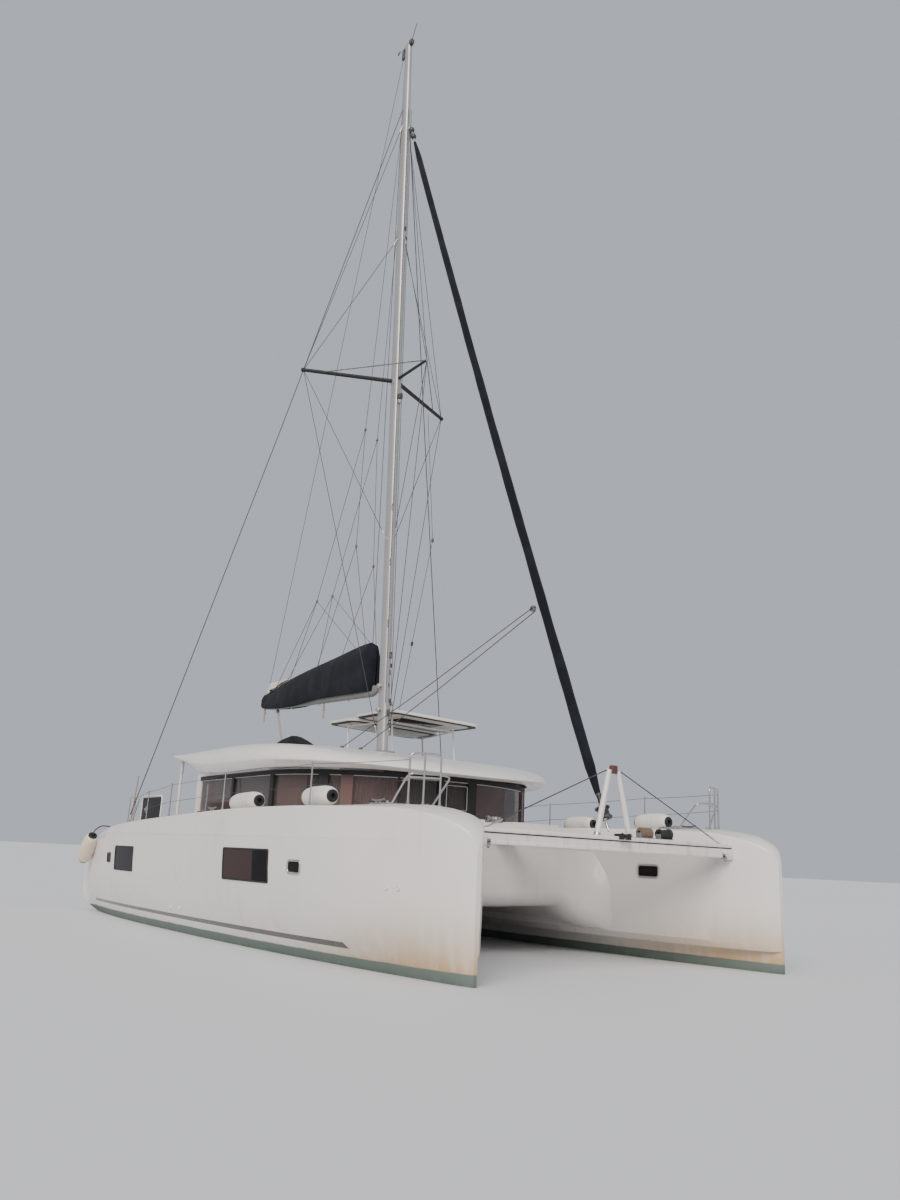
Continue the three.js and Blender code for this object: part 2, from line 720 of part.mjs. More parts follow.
const tilt = THREE.MathUtils.degToRad(WHEEL.tilt);
const wheelAxis = new THREE.Vector3(-Math.cos(tilt), 0, Math.sin(tilt));
const wheelAt = (distance) => point(WHEEL.x, WHEEL.y, WHEEL.z).addScaledVector(wheelAxis, distance);

function console_() {
  const front = WELL.x1 - WELL.wall - SEAT;
  const outline = [[front, WELL.floor + WELL.wall + SEAT], [front, 3380], [front - 120, 3420]];
  outline.push([front - 330, 2980], [front - 260, WELL.floor + WELL.wall + SEAT]);
  const rings = [-400, 400].map((y) => outline.map(([x, z]) => point(x, WHEEL.y + y, z)));
  return loft(rings).add(bar(wheelAt(-330), wheelAt(-40), 45, 12));
}
add("helm_console", "gelcoat", console_());

function wheel() {
  const rim = new THREE.TorusGeometry(WHEEL.radius, 16, 6, 24);
  rim.applyQuaternion(new THREE.Quaternion().setFromUnitVectors(point(0, 0, 1), wheelAxis));
  rim.translate(WHEEL.x, WHEEL.y, WHEEL.z);
  const up = new THREE.Vector3(Math.sin(tilt), 0, Math.cos(tilt));
  const spokes = range(5).map((i) => {
    const out = up.clone().applyAxisAngle(wheelAxis, (i / 5) * Math.PI * 2);
    return bar(wheelAt(0), wheelAt(0).addScaledVector(out, WHEEL.radius), 9, 6);
  });
  const hub = bar(wheelAt(-39.5), wheelAt(25), 42, 12);
  return union([solidOf(rim), ...spokes, hub]);
}
add("helm_wheel", "steel", wheel());

add(
  "helm_seat",
  "vinyl",
  union([
    box([-2900, 560, WELL.floor + WELL.wall + SEAT], [-2420, 1620, 2870]),
    box([-2900, 560, 2860], [-2780, 1620, 3390]),
  ]),
);

// Bimini over the helm: two panels that fall to port and reach further forward there

const BIMINI = { y0: 200, y1: 2380, low: 4120, thick: 50, fall: 0.05, sweep: 0.1, lean: 120 };
const BIMINI_LOWER = BIMINI.low - BIMINI.thick - SEAT;
const BIMINI_MIDDLE = (BIMINI.y0 + BIMINI.y1) / 2;

function biminiPanel(x0, x1, low) {
  const panel = slab(roundedOutline(x0, x1, BIMINI.y0, BIMINI.y1, 260), low, low + BIMINI.thick);
  return panel.warp((vertex) => {
    vertex[0] += (vertex[1] - BIMINI_MIDDLE) * BIMINI.sweep;
    vertex[2] -= (vertex[1] - BIMINI_MIDDLE) * BIMINI.fall;
  });
}
const topPanel = add("bimini_top", "gelcoat", biminiPanel(-2000, -530, BIMINI.low));
const aftPanel = add("bimini_top_aft", "gelcoat", biminiPanel(-3150, -1960, BIMINI_LOWER));

// x, y of each post, in order round the frame
const BIMINI_POSTS = [[-1000, 2020], [-1200, 620], [-2640, 420], [-2520, 2275]];

function biminiFrame() {
  const heads = BIMINI_POSTS.map(([x, y]) =>
    point(x, y, BIMINI_LOWER - (y - BIMINI_MIDDLE) * BIMINI.fall),
  );
  const uprights = heads.map(({ x, y, z }) =>
    bar(point(x + BIMINI.lean, y, roofTop(x) - 60), point(x, y, z + 90), 20, 6),
  );
  const rails = heads.map((head, i) => {
    const next = heads[(i + 1) % heads.length];
    return bar(point(head.x, head.y, head.z - 40), point(next.x, next.y, next.z - 40), 15, 6);
  });
  let made = union([...uprights, ...rails]);
  for (const panel of [topPanel, aftPanel]) made = largest(seated(made, panel, DOWN));
  return seated(made, coachroof, UP);
}
add("bimini_frame", "steel", largest(biminiFrame()));

const cover = box([-4600, -450, 3320], [-3400, 450, 3850]);
add("roof_cover", "canvas", largest(seated(cover, coachroof, UP)));

// Cockpit

add(
  "cockpit_bench",
  "vinyl",
  union([
    box([-5150, -1500, FLOOR_Z + SEAT], [-4620, 1500, 1400]),
    box([-5150, -1500, 1390], [-5000, 1500, 1850]),
  ]),
);
add(
  "cockpit_table",
  "gelcoat",
  union([
    box([-4350, -950, 1640], [-3700, 250, 1680]),
    bar(point(-4020, -350, FLOOR_Z + SEAT), point(-4020, -350, 1650), 60, 10),
  ]),
);
add(
  "saloon_settee",
  "vinyl",
  box([900, -1500, FLOOR_Z + SEAT], [1550, 1500, 1400]),
);

// Below the water: rudders, saildrives and propellers

for (const [name, side] of SIDES) {
  const y = side * HULL_Y;
  const foil = (front, back, half, z) =>
    [[front, 0], [front - 90, half], [back, 8], [back, -8], [front - 90, -half]]
      .map(([x, off]) => point(RUDDER_X + x, y + off, z));
  const blade = loft([foil(120, -300, 24, -1150), foil(170, -380, 36, -420)]);
  const stock = bar(point(RUDDER_X, y, -430), point(RUDDER_X, y, 20), 30, 16);
  add("rudder_" + name, "antifouling", blade.add(stock));
}

for (const [name, side] of SIDES) {
  const y = side * HULL_Y;
  const leg = box([DRIVE_X - 110, y - 55, PROPELLER_Z], [DRIVE_X + 130, y + 55, -450]);
  const pod = bar(
    point(DRIVE_X + 190, y, PROPELLER_Z),
    point(DRIVE_X - 240, y, PROPELLER_Z),
    40,
    12,
    70,
  );
  add("saildrive_" + name, "bronze", seated(leg.add(pod), hulls[name], DOWN));
}

for (const [name, side] of SIDES) {
  const y = side * HULL_Y;
  const hub = bar(
    point(DRIVE_X - 240.6, y, PROPELLER_Z),
    point(DRIVE_X - 360, y, PROPELLER_Z),
    60,
    12,
    30,
  );
  const blades = range(3).map((i) => {
    const blade = new THREE.BoxGeometry(14, 120, 190);
    blade.translate(0, 0, 125);
    blade.rotateZ(0.6);
    blade.rotateX((i / 3) * Math.PI * 2);
    blade.translate(DRIVE_X - 300, y, PROPELLER_Z);
    return solidOf(blade);
  });
  add("propeller_" + name, "bronze", union([hub, ...blades]));
}

// Rails

const RAIL = { height: 600, radius: 13, wire: 5, lower: 300 };
const deckAt = (x) => between(HULL_STATIONS.map((station) => [station[0], station[5]]), x);

// x, distance from the centreline of each pulpit leg, from outboard to inboard
const PULPIT = [[5110, 3030], [5190, 2850], [5260, 2640]];
const PULPIT_RAILS = { top: 2710, middle: 2400, corner: 60 };
// x, distance from the centreline, height of the bent tube that carries the pulpit's seat
const PULPIT_SEAT = [
  [4780, 3130, 1960],
  [5090, 3022, 2450],
  [5236, 2632, 2450],
  [5180, 2420, 2440],
  [4700, 2450, 1960],
];

function pulpit(side, name) {
  const { top, middle, corner } = PULPIT_RAILS;
  const legs = PULPIT.map(([x, y]) => [point(x, side * y, deckAt(x) - 60), point(x, side * y, top)]);
  const [outer, inner] = [legs[0], legs[2]].map(([foot, head]) => {
    const bend = head.clone();
    bend.z -= corner;
    return [foot, bend];
  });
  const across = new THREE.Vector3().subVectors(legs[2][1], legs[0][1]).setLength(corner);
  const crown = [legs[0][1].clone().add(across), legs[2][1].clone().sub(across)];
  const hoop = [...outer, ...crown, inner[1], inner[0]];
  const rung = [legs[0], legs[2]].map(([foot]) => point(foot.x, foot.y, middle));
  const seat = PULPIT_SEAT.map(([x, y, z]) => point(x, side * y, z));
  const tubes = [
    bentTube(hoop, RAIL.radius),
    bar(...legs[1], RAIL.radius, 6),
    bar(...rung, RAIL.radius * 0.8, 6),
    bentTube(seat, RAIL.radius),
  ];
  return seated(union(tubes), hulls[name], UP);
}

// x, distance from the centreline
const STANCHIONS = [[3150, 3400], [420, 3540], [-1950, 3550], [-3560, 3400]];
// x of the stern rail's aft end and of its post between, and its distance from the centreline
const STERN_RAIL = { aft: -4860, post: -4480, y: 3330 };

function guardrail(side, name, bow) {
  const tops = STANCHIONS.map(([x, y]) => point(x, side * y, deckAt(x) + RAIL.height));
  const posts = tops.map((top) => bar(point(top.x, top.y, deckAt(top.x) - 40), top, RAIL.radius, 6));
  const wires = [8, RAIL.lower].flatMap((down) => {
    const ends = tops.map((top) => point(top.x, top.y, top.z - down));
    const [x, y] = PULPIT[0];
    const forward = point(x, side * y, PULPIT_RAILS.top - 50 - down);
    return [forward, ...ends].slice(1).map((end, i) => bar([forward, ...ends][i], end, RAIL.wire, 5));
  });
  const { aft, post, y } = STERN_RAIL;
  const top = tops[tops.length - 1];
  const corner = point(aft, side * y, top.z);
  const stern = bentTube([top, corner, point(aft, side * y, deckAt(aft) - 40)], RAIL.radius);
  const foot = point(post, side * (y + 15), deckAt(post) - 40);
  const middle = bar(foot, point(foot.x, foot.y, top.z), RAIL.radius, 6);
  const made = seated(union([...posts, ...wires, stern, middle]), hulls[name], UP);
  return largest(seated(made, bow, [-1, 0, 0]));
}
for (const [name, side] of SIDES) {
  const bow = add("pulpit_" + name, "steel", largest(pulpit(side, name)));
  add("guardrail_" + name, "steel", guardrail(side, name, bow));
}

// Fenders

function fender(length, radius) {
  const half = length / 2;
  const profile = [[0, -half], [0.55, -half + 30], [0.9, -half + 90], [1, -half + 170]];
  const mirrored = profile.map(([r, z]) => [r, -z]).reverse();
  const outline = [...profile, ...mirrored].map(([r, z]) => new THREE.Vector2(r * radius, z));
  return new THREE.LatheGeometry(outline, 12);
}

// name, hull it lies on, x of its middle, distance from the centreline, length
const DECK_FENDERS = [
  ["fender_starboard_aft", "starboard", 755, -3300, 1230],
  ["fender_starboard_fore", "starboard", 3255, -3180, 1030],
  ["fender_port_aft", "port", 1920, 3300, 1100],
  ["fender_port_fore", "port", 3500, 3200, 1000],
];
const FENDER_RADIUS = 150;
for (const [name, hullName, x, y, length] of DECK_FENDERS) {
  const geometry = fender(length, FENDER_RADIUS);
  geometry.rotateZ(Math.PI / 2);
  geometry.translate(x, y, deckAt(x) + FENDER_RADIUS - 8);
  add(name, "vinyl", largest(seated(solidOf(geometry), hulls[hullName], UP)));
}
{
  const geometry = fender(760, 135);
  geometry.rotateX(Math.PI / 2);
  geometry.rotateY(0.6);
  geometry.translate(-5640, -3842, 1290);
  add("fender_stern", "vinyl", largest(seated(solidOf(geometry), hulls.starboard, [0, -1, 0])));
}

export default group;
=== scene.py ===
"""A cruising sailing catamaran afloat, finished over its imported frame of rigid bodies."""

import json
import math

import bmesh
import bpy
from bpy.props import FloatProperty, FloatVectorProperty, IntProperty, PointerProperty
from mathutils import Matrix, Vector, noise

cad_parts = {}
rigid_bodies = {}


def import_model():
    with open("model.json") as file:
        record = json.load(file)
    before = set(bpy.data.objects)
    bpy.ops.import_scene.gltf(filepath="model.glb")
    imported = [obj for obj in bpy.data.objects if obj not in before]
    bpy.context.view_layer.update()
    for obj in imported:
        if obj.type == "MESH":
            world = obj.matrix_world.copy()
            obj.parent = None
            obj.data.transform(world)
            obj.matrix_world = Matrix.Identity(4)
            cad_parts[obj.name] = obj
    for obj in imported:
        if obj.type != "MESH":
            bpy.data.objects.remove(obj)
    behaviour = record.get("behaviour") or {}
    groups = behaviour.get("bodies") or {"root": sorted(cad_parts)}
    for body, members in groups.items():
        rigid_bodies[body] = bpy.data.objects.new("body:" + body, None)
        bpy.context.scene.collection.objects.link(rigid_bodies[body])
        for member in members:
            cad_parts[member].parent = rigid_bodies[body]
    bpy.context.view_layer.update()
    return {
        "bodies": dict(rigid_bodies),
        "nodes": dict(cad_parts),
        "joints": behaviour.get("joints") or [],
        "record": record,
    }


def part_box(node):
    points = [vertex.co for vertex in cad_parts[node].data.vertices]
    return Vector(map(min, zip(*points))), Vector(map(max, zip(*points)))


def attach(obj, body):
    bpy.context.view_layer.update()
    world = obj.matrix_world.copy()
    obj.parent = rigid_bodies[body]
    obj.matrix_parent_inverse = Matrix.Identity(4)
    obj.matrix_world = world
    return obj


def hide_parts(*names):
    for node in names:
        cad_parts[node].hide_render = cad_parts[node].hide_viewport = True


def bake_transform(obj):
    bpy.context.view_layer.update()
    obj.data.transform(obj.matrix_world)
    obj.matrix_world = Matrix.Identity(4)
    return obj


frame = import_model()

bl_info = {
    "name": "Sailing catamaran",
    "version": (1, 0, 0),
    "blender": (4, 5, 0),
    "location": "3D View > Sidebar > Catamaran",
    "description": "Hulls, deck gear, rig and canvas of a cruising catamaran",
    "category": "Object",
}

UP, ACROSS = (0, 0, 1), (0, 1, 0)
SIDES = {"starboard": -1, "port": 1}
HULL_Y = 2.83
# x, half widths at the waterline, outer side and inner side, depth, deck height, crown
HULL_STATIONS = [
    (-6.4, 0.38, 0.78, 0.97, 0.02, 0.7, 0.004),
    (-6.3, 0.4, 0.81, 0.99, 0.06, 1.13, 0.004),
    (-6.05, 0.44, 0.85, 1.02, 0.15, 1.44, 0.004),
    (-5.4, 0.52, 0.92, 1.06, 0.32, 1.6, 0.004),
    (-4.5, 0.6, 0.98, 1.08, 0.48, 1.75, 0.004),
    (-2.6, 0.665, 1.02, 1.08, 0.61, 1.865, 0.004),
    (-0.4, 0.65, 1.02, 1.08, 0.64, 1.955, 0.004),
    (1.6, 0.58, 0.995, 1.07, 0.63, 2.015, 0.004),
    (3.2, 0.47, 0.925, 0.96, 0.59, 2.03, 0.015),
    (4.4, 0.35, 0.795, 0.785, 0.54, 2.02, 0.04),
    (5.3, 0.23, 0.6, 0.57, 0.48, 2.005, 0.05),
    (5.85, 0.145, 0.41, 0.375, 0.42, 1.93, 0.05),
    (6.15, 0.09, 0.255, 0.235, 0.35, 1.835, 0.04),
    (6.32, 0.045, 0.125, 0.12, 0.26, 1.72, 0.025),
    (6.4, 0.02, 0.036, 0.036, 0.09, 1.56, 0.01),
]
# x, height of the stern steps, from the stern forward
STEPS = [(-6.6, 0.33), (-5.96, 0.64), (-5.6, 0.95), (-5.24, 1.26), (-4.88, 1.53), (-4.52, 3.0)]
# x, height of the roof's edge
ROOF_EDGE = [
    (-4.94, 3.25), (-4.75, 3.21), (-4.4, 3.14), (-3.9, 3.04), (-3.0, 2.86), (-2.0, 2.775), (-1.0, 2.755), (0.6, 2.765),
    (2, 2.755), (2.78, 2.695),
]
# x, height of the roof's top
ROOF_TOP = [
    (-4.94, 3.345), (-4, 3.35), (-2.5, 3.345), (-1, 3.325), (0, 3.265), (0.86, 3.195), (2.2, 2.985), (2.78, 2.86),
]
# share of the plan, share of the height from edge to top: the roof's rings from the inside out and over
ROOF_RISE = [
    (0.1, 0.03), (0.5, 0.03), (0.8, 0.03), (0.93, 0.03), (0.966, 0.0), (0.9985, 0.25), (1, 0.3), (0.994, 0.45),
    (0.979, 0.6), (0.953, 0.74), (0.91, 0.855), (0.84, 0.92), (0.74, 0.955), (0.6, 0.98), (0.38, 0.993), (0.15, 1.0),
]
MAST_FOOT, MAST_HEAD = Vector((-0.5, 0, 3.39)), Vector((-1.32, 0, 20.65))
BOOM_FRONT, BOOM_AFT = Vector((-0.78, 0, 4.6)), Vector((-5.98, 0, 4.77))
STAY_FOOT, STAY_HEAD = Vector((5.66, 0, 1.88)), Vector((-0.96, 0, 18.0))
SPREADER_TIP = Vector((-1.73, 1.81, 11.38))
STRUT_Z, STRUT_LENGTH = 11.42, 1.18
# x, underside, top, half width of the stowed mainsail in its bag
BAG_SECTIONS = [
    (-6.05, 4.78, 5.04, 0.07), (-5.7, 4.73, 5.07, 0.1), (-4.6, 4.65, 5.28, 0.17),
    (-2.6, 4.615, 5.49, 0.2), (-1.19, 4.575, 5.61, 0.19), (-0.925, 4.57, 5.51, 0.11),
]


# ---------------------------------------------------------------- curves


def along(rows, x):
    """The values at x on smooth curves through rows of (x, value, ...), without overshoot."""
    last = len(rows) - 1
    i = max(0, min(last - 1, sum(row[0] <= x for row in rows) - 1))

    def rise(j, k):
        return (rows[j + 1][k] - rows[j][k]) / (rows[j + 1][0] - rows[j][0])

    def slope(j, k):
        if j in (0, last):
            return rise(min(j, last - 1), k)
        a, b = rise(j - 1, k), rise(j, k)
        return 0 if a * b <= 0 else 2 * a * b / (a + b)

    step = rows[i + 1][0] - rows[i][0]
    t = limited((x - rows[i][0]) / step)
    found = []
    for k in range(1, len(rows[0])):
        start, end = rows[i][k], rows[i + 1][k]
        value = start * (1 + 2 * t) * (1 - t) ** 2 + end * t * t * (3 - 2 * t)
        value += step * (slope(i, k) * t * (1 - t) ** 2 - slope(i + 1, k) * t * t * (1 - t))
        found.append(value)
    return found


def flowing(points, steps=4):
    """More points on a smooth curve through the given ones."""
    points = [Vector(p) for p in points]
    found = []
    for i in range(len(points) - 1):
        a, b = points[max(i - 1, 0)], points[i]
        c, d = points[i + 1], points[min(i + 2, len(points) - 1)]
        for s in range(steps):
            t = s / steps
            curve = 2 * b + (c - a) * t + (2 * a - 5 * b + 4 * c - d) * t * t + (3 * b - a - 3 * c + d) * t**3
            found.append(0.5 * curve)
    return found + [points[-1]]


def bent(points, radius=0.06, steps=4):
    """The points of a tube that is bent at each corner."""
    points = [Vector(p) for p in points]
    found = [points[0]]
    for a, b, c in zip(points, points[1:], points[2:]):
        reach = min(radius, (a - b).length * 0.45, (c - b).length * 0.45)
        start, end = b + (a - b).normalized() * reach, b + (c - b).normalized() * reach
        for s in range(steps + 1):
            t = s / steps
            found.append(start * (1 - t) ** 2 + b * 2 * t * (1 - t) + end * t * t)
    return found + [points[-1]]


def between(a, b, share):
    return Vector(a).lerp(Vector(b), share)


def beside(place, x=0.0, y=0.0, z=0.0):
    return Vector(place) + Vector((x, y, z))


def spread(low, high, steps):
    """Numbers at even steps from low to high."""
    return [low + (high - low) * i / steps for i in range(steps + 1)]


def limited(share):
    return max(0, min(1, share))


def squared(turn, power):
    """Cosine and sine of a turn, for a round that is flattened towards a rectangle by each power."""
    return [math.copysign(abs(part) ** p, part) for part, p in zip((math.cos(turn), math.sin(turn)), power)]


def outline(x0, x1, y0, y1, radius, steps=5):
    """Points round a rectangle with rounded corners."""
    left, right, low, high = x0 + radius, x1 - radius, y0 + radius, y1 - radius
    found = []
    for i, (x, y) in enumerate([(right, high), (left, high), (left, low), (right, low)]):
        for s in range(steps + 1):
            a = (i + s / steps) * math.pi / 2
            found.append((x + radius * math.cos(a), y + radius * math.sin(a)))
    return found


# ---------------------------------------------------------------- shaping

MERGED = 1e-5


def chain(bm, points, closed=False):
    """Edges through the points."""
    verts = [bm.verts.new(p) for p in points]
    after = verts[1:] + (verts[:1] if closed else [])
    return [bm.edges.new(pair) for pair in zip(verts, after)]


def skin(bm, rings, closed=True, caps=(True, True)):
    """A surface through rings of points."""
    loops = [chain(bm, ring, closed) for ring in rings]
    for a, b in zip(loops, loops[1:]):
        bmesh.ops.bridge_loops(bm, edges=a + b)
    for loop, wanted in zip((loops[0], loops[-1]), caps):
        if closed and wanted:
            bmesh.ops.contextual_create(bm, geom=loop)


def pipe(bm, points, radius, sides=8, end=None):
    """A round bar or rope along the points, which may taper to the end radius."""
    points = [Vector(p) for p in points]
    loops, up = [], None
    for i, point in enumerate(points):
        way = (points[min(i + 1, len(points) - 1)] - points[max(i - 1, 0)]).normalized()
        up = way.orthogonal() if up is None else up - way * up.dot(way)
        up.normalize()
        turn = Matrix((up, way.cross(up), way)).transposed().to_4x4()
        size = radius + ((radius if end is None else end) - radius) * i / (len(points) - 1)
        made = bmesh.ops.create_circle(bm, segments=sides, radius=size, matrix=Matrix.Translation(point) @ turn)
        loops.append(list({e for v in made["verts"] for e in v.link_edges}))
    for a, b in zip(loops, loops[1:]):
        bmesh.ops.bridge_loops(bm, edges=a + b)
    for loop in (loops[0], loops[-1]):
        bmesh.ops.contextual_create(bm, geom=loop)


def line(bm, a, b, radius, sides=6):
    """A taut wire or rope."""
    pipe(bm, [a, between(a, b, 0.5), b], radius, sides)


def turned(bm, profile, base, way, sides=20):
    """A turned body: profile is (distance along the way from the base, radius)."""
    base, way = Vector(base), Vector(way).normalized()
    out = way.orthogonal().normalized()
    edges = chain(bm, [base + way * far + out * max(radius, 0.0002) for far, radius in profile])
    verts = {v for e in edges for v in e.verts}
    bmesh.ops.spin(bm, geom=edges + list(verts), cent=base, axis=way, angle=math.tau, steps=sides, use_merge=True)


def block(bm, low, high, edge=0.01, segments=2, base=(0, 0, 0)):
    """A block with rounded edges; low and high are corners, counted from the base."""
    low, high = Vector(base) + Vector(low), Vector(base) + Vector(high)
    place = Matrix.LocRotScale((low + high) / 2, None, high - low)
    made = bmesh.ops.create_cube(bm, size=1, matrix=place)
    round_off(bm, made["verts"], edge, segments)


def round_off(bm, verts, edge, segments=2):
    edges = list({e for v in verts for e in v.link_edges})
    bmesh.ops.bevel(
        bm, geom=edges, offset=edge, affect="EDGES", segments=segments, profile=0.5, material=-1, clamp_overlap=True
    )


def slab(bm, points, low, high, edge=0.008, segments=2):
    """A plate of any outline; low and high are heights, or functions of x and y."""
    heights = [h if callable(h) else (lambda x, y, z=h: z) for h in (low, high)]
    rings = [[(x, y, h(x, y)) for x, y in points] for h in heights]
    start = set(bm.verts)
    skin(bm, rings)
    round_off(bm, [v for v in bm.verts if v not in start], edge, segments)


def mesh_from(bm):
    mesh = bpy.data.meshes.new("shape")
    bm.to_mesh(mesh)
    return mesh


def placed(name, data):
    """A new thing in the scene."""
    thing = bpy.data.objects.new(name, data)
    bpy.context.scene.collection.objects.link(thing)
    return thing


def worked_out(thing):
    """The mesh that a thing has with its modifiers."""
    return bpy.data.meshes.new_from_object(thing.evaluated_get(bpy.context.evaluated_depsgraph_get()))


def cleaned(bm):
    bmesh.ops.remove_doubles(bm, verts=bm.verts, dist=MERGED)
    bmesh.ops.recalc_face_normals(bm, faces=bm.faces)


def carved(bm, *tools):
    """The shape with each tool's space taken away."""
    for shape in (bm, *tools):
        cleaned(shape)
    made = [placed("carving", mesh_from(shape)) for shape in (bm, *tools)]
    for tool in made[1:]:
        modifier = made[0].modifiers.new("cut", "BOOLEAN")
        modifier.operation, modifier.solver, modifier.object = "DIFFERENCE", "EXACT", tool
    result = bmesh.new()
    result.from_mesh(worked_out(made[0]))
    for thing in made:
        bpy.data.objects.remove(thing)
    return result


class Piece:
    """One piece in the making, with a bmesh for each of its materials."""

    def __init__(self):
        self.shapes = {}

    def __getitem__(self, material):
        return self.shapes.setdefault(material, bmesh.new())

    def finish(self, name, body="boat", slot=None, replaces=(), sharp=38):
        mesh = bpy.data.meshes.new(name)
        whole = bmesh.new()
        for i, (material, bm) in enumerate(self.shapes.items()):
            cleaned(bm)
            for face in bm.faces:
                face.material_index = i
                face.smooth = True
            whole.from_mesh(mesh_from(bm))
            mesh.materials.append(finish_named(material))
        whole.to_mesh(mesh)
        mesh.set_sharp_from_angle(angle=math.radians(sharp))
        thing = placed(name, mesh)
        if body:
            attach(thing, body)
        if replaces:
            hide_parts(*replaces)
        return thing


def simple(name, material, shape, *values, body="boat", slot=None, replaces=(), **options):
    """A piece of one material made by one shaping call."""
    piece = Piece()
    shape(piece[material], *values, **options)
    return piece.finish(name, body, slot, replaces)


# ---------------------------------------------------------------- node groups


def node(tree, kind, inputs=(), **settings):
    made = tree.nodes.new("ShaderNode" + kind)
    for key, value in settings.items():
        setattr(made, key, value)
    for key, value in dict(inputs).items():
        if isinstance(value, bpy.types.NodeSocket):
            tree.links.new(value, made.inputs[key])
        else:
            made.inputs[key].default_value = value
    return made


def calc(tree, operation, a, b=0.0):
    return node(tree, "Math", {0: a, 1: b}, operation=operation).outputs[0]


def times(tree, a, b):
    return calc(tree, "MULTIPLY", a, b)


def plus(tree, a, b):
    return calc(tree, "ADD", a, b)


def step_between(tree, value, low, high):
    """0 below low and 1 above high, or the other way round where low is above high."""
    made = node(tree, "MapRange", {"Value": value, "From Min": low, "From Max": high})
    made.interpolation_type = "SMOOTHSTEP"
    return made.outputs["Result"]


def mixed(tree, share, a, b, blend="MIX"):
    return node(tree, "Mix", {0: share, 6: a, 7: b}, data_type="RGBA", blend_type=blend).outputs[2]


def noise_of(tree, vector, scale, detail=3.0, stretch=None):
    if stretch:
        vector = node(tree, "Mapping", {"Vector": vector, "Scale": stretch}).outputs[0]
    return node(tree, "TexNoise", {"Vector": vector, "Scale": scale, "Detail": detail}).outputs[0]


def group(name, inputs, outputs):
    """An empty node group with its sockets, and its two end nodes."""
    tree = bpy.data.node_groups.new(name, "ShaderNodeTree")
    kinds = {"c": "NodeSocketColor", "v": "NodeSocketVector", "f": "NodeSocketFloat"}
    for text, direction in ((inputs, "INPUT"), (outputs, "OUTPUT")):
        for entry in text:
            kind, label = entry.split(" ", 1)
            tree.interface.new_socket(name=label, in_out=direction, socket_type=kinds[kind])
    return tree, tree.nodes.new("NodeGroupInput").outputs, tree.nodes.new("NodeGroupOutput").inputs


def weather_group():
    """Salt, dust and rain streaks on a smooth painted or moulded surface."""
    tree, given, out = group(
        "Weathering",
        ["v Vector", "c Color", "c Stain", "f Scale", "f Amount", "f Gloss"],
        ["c Color", "f Roughness", "f Height"],
    )
    cloud = noise_of(tree, given["Vector"], given["Scale"], 4)
    streak = noise_of(tree, given["Vector"], given["Scale"], 5, (5, 5, 0.35))
    fine = noise_of(tree, given["Vector"], times(tree, given["Scale"], 60), 2)
    dirt = times(tree, step_between(tree, streak, 0.5, 0.78), step_between(tree, cloud, 0.35, 0.7))
    share = times(tree, dirt, given["Amount"])
    shade = mixed(tree, times(tree, cloud, 0.12), given["Color"], (0.2, 0.19, 0.17, 1), "MULTIPLY")
    tree.links.new(mixed(tree, share, shade, given["Stain"]), out["Color"])
    rough = plus(tree, given["Gloss"], times(tree, cloud, 0.14))
    tree.links.new(plus(tree, rough, times(tree, share, 0.3)), out["Roughness"])
    tree.links.new(plus(tree, times(tree, cloud, 0.8), times(tree, fine, 0.02)), out["Height"])
    return tree


def weave_group():
    """Crossing threads, their colour play and their height."""
    inputs = ["v Vector", "c Color", "c Faded", "f Threads"]
    tree, given, out = group("Weave", inputs, ["c Color", "f Height", "f Mask"])
    spread = node(tree, "VectorMath", {0: given["Vector"], "Scale": given["Threads"]}, operation="SCALE").outputs[0]
    parts = node(tree, "SeparateXYZ", {0: spread}).outputs
    waves = [calc(tree, "ABSOLUTE", calc(tree, "SINE", times(tree, part, math.pi))) for part in parts]
    height = times(tree, calc(tree, "MAXIMUM", waves[0], waves[1]), calc(tree, "MAXIMUM", waves[1], waves[2]))
    worn = noise_of(tree, given["Vector"], 2.2, 5)
    share = plus(tree, step_between(tree, worn, 0.4, 0.75), times(tree, height, 0.15))
    tree.links.new(mixed(tree, share, given["Color"], given["Faded"]), out["Color"])
    tree.links.new(height, out["Height"])
    tree.links.new(worn, out["Mask"])
    return tree


def metal_group():
    """Fine draw marks and dull patches of bare or anodised metal."""
    inputs = ["v Vector", "c Color", "f Scale", "f Gloss"]
    tree, given, out = group("Drawn metal", inputs, ["c Color", "f Roughness", "f Height"])
    lines = noise_of(tree, given["Vector"], times(tree, given["Scale"], 14), 2, (1, 1, 0.05))
    dull = noise_of(tree, given["Vector"], given["Scale"], 4)
    shade = mixed(tree, times(tree, dull, 0.35), given["Color"], (0.35, 0.34, 0.32, 1), "MULTIPLY")
    tree.links.new(shade, out["Color"])
    rough = plus(tree, given["Gloss"], times(tree, plus(tree, dull, lines), 0.12))
    tree.links.new(rough, out["Roughness"])
    tree.links.new(lines, out["Height"])
    return tree


def tread_group():
    """The moulded grip pattern of a deck."""
    tree, given, out = group("Deck tread", ["v Vector", "f Size"], ["f Height", "f Mask"])
    spots = {"Vector": given["Vector"], "Scale": given["Size"], "Randomness": 0.25}
    dots = node(tree, "TexVoronoi", spots).outputs["Distance"]
    raised = step_between(tree, dots, 0.42, 0.2)
    tree.links.new(raised, out["Height"])
    tree.links.new(calc(tree, "SUBTRACT", 1.0, raised), out["Mask"])
    return tree


def wear_group():
    """Rubbed edges and scuffs; Edge is the surface's pointiness."""
    tree, given, out = group("Edge wear", ["v Vector", "f Edge", "f Amount"], ["f Mask"])
    scuffs = noise_of(tree, given["Vector"], 30, 4)
    edge = step_between(tree, given["Edge"], 0.52, 0.62)
    mask = times(tree, times(tree, edge, step_between(tree, scuffs, 0.35, 0.6)), given["Amount"])
    tree.links.new(mask, out["Mask"])
    return tree


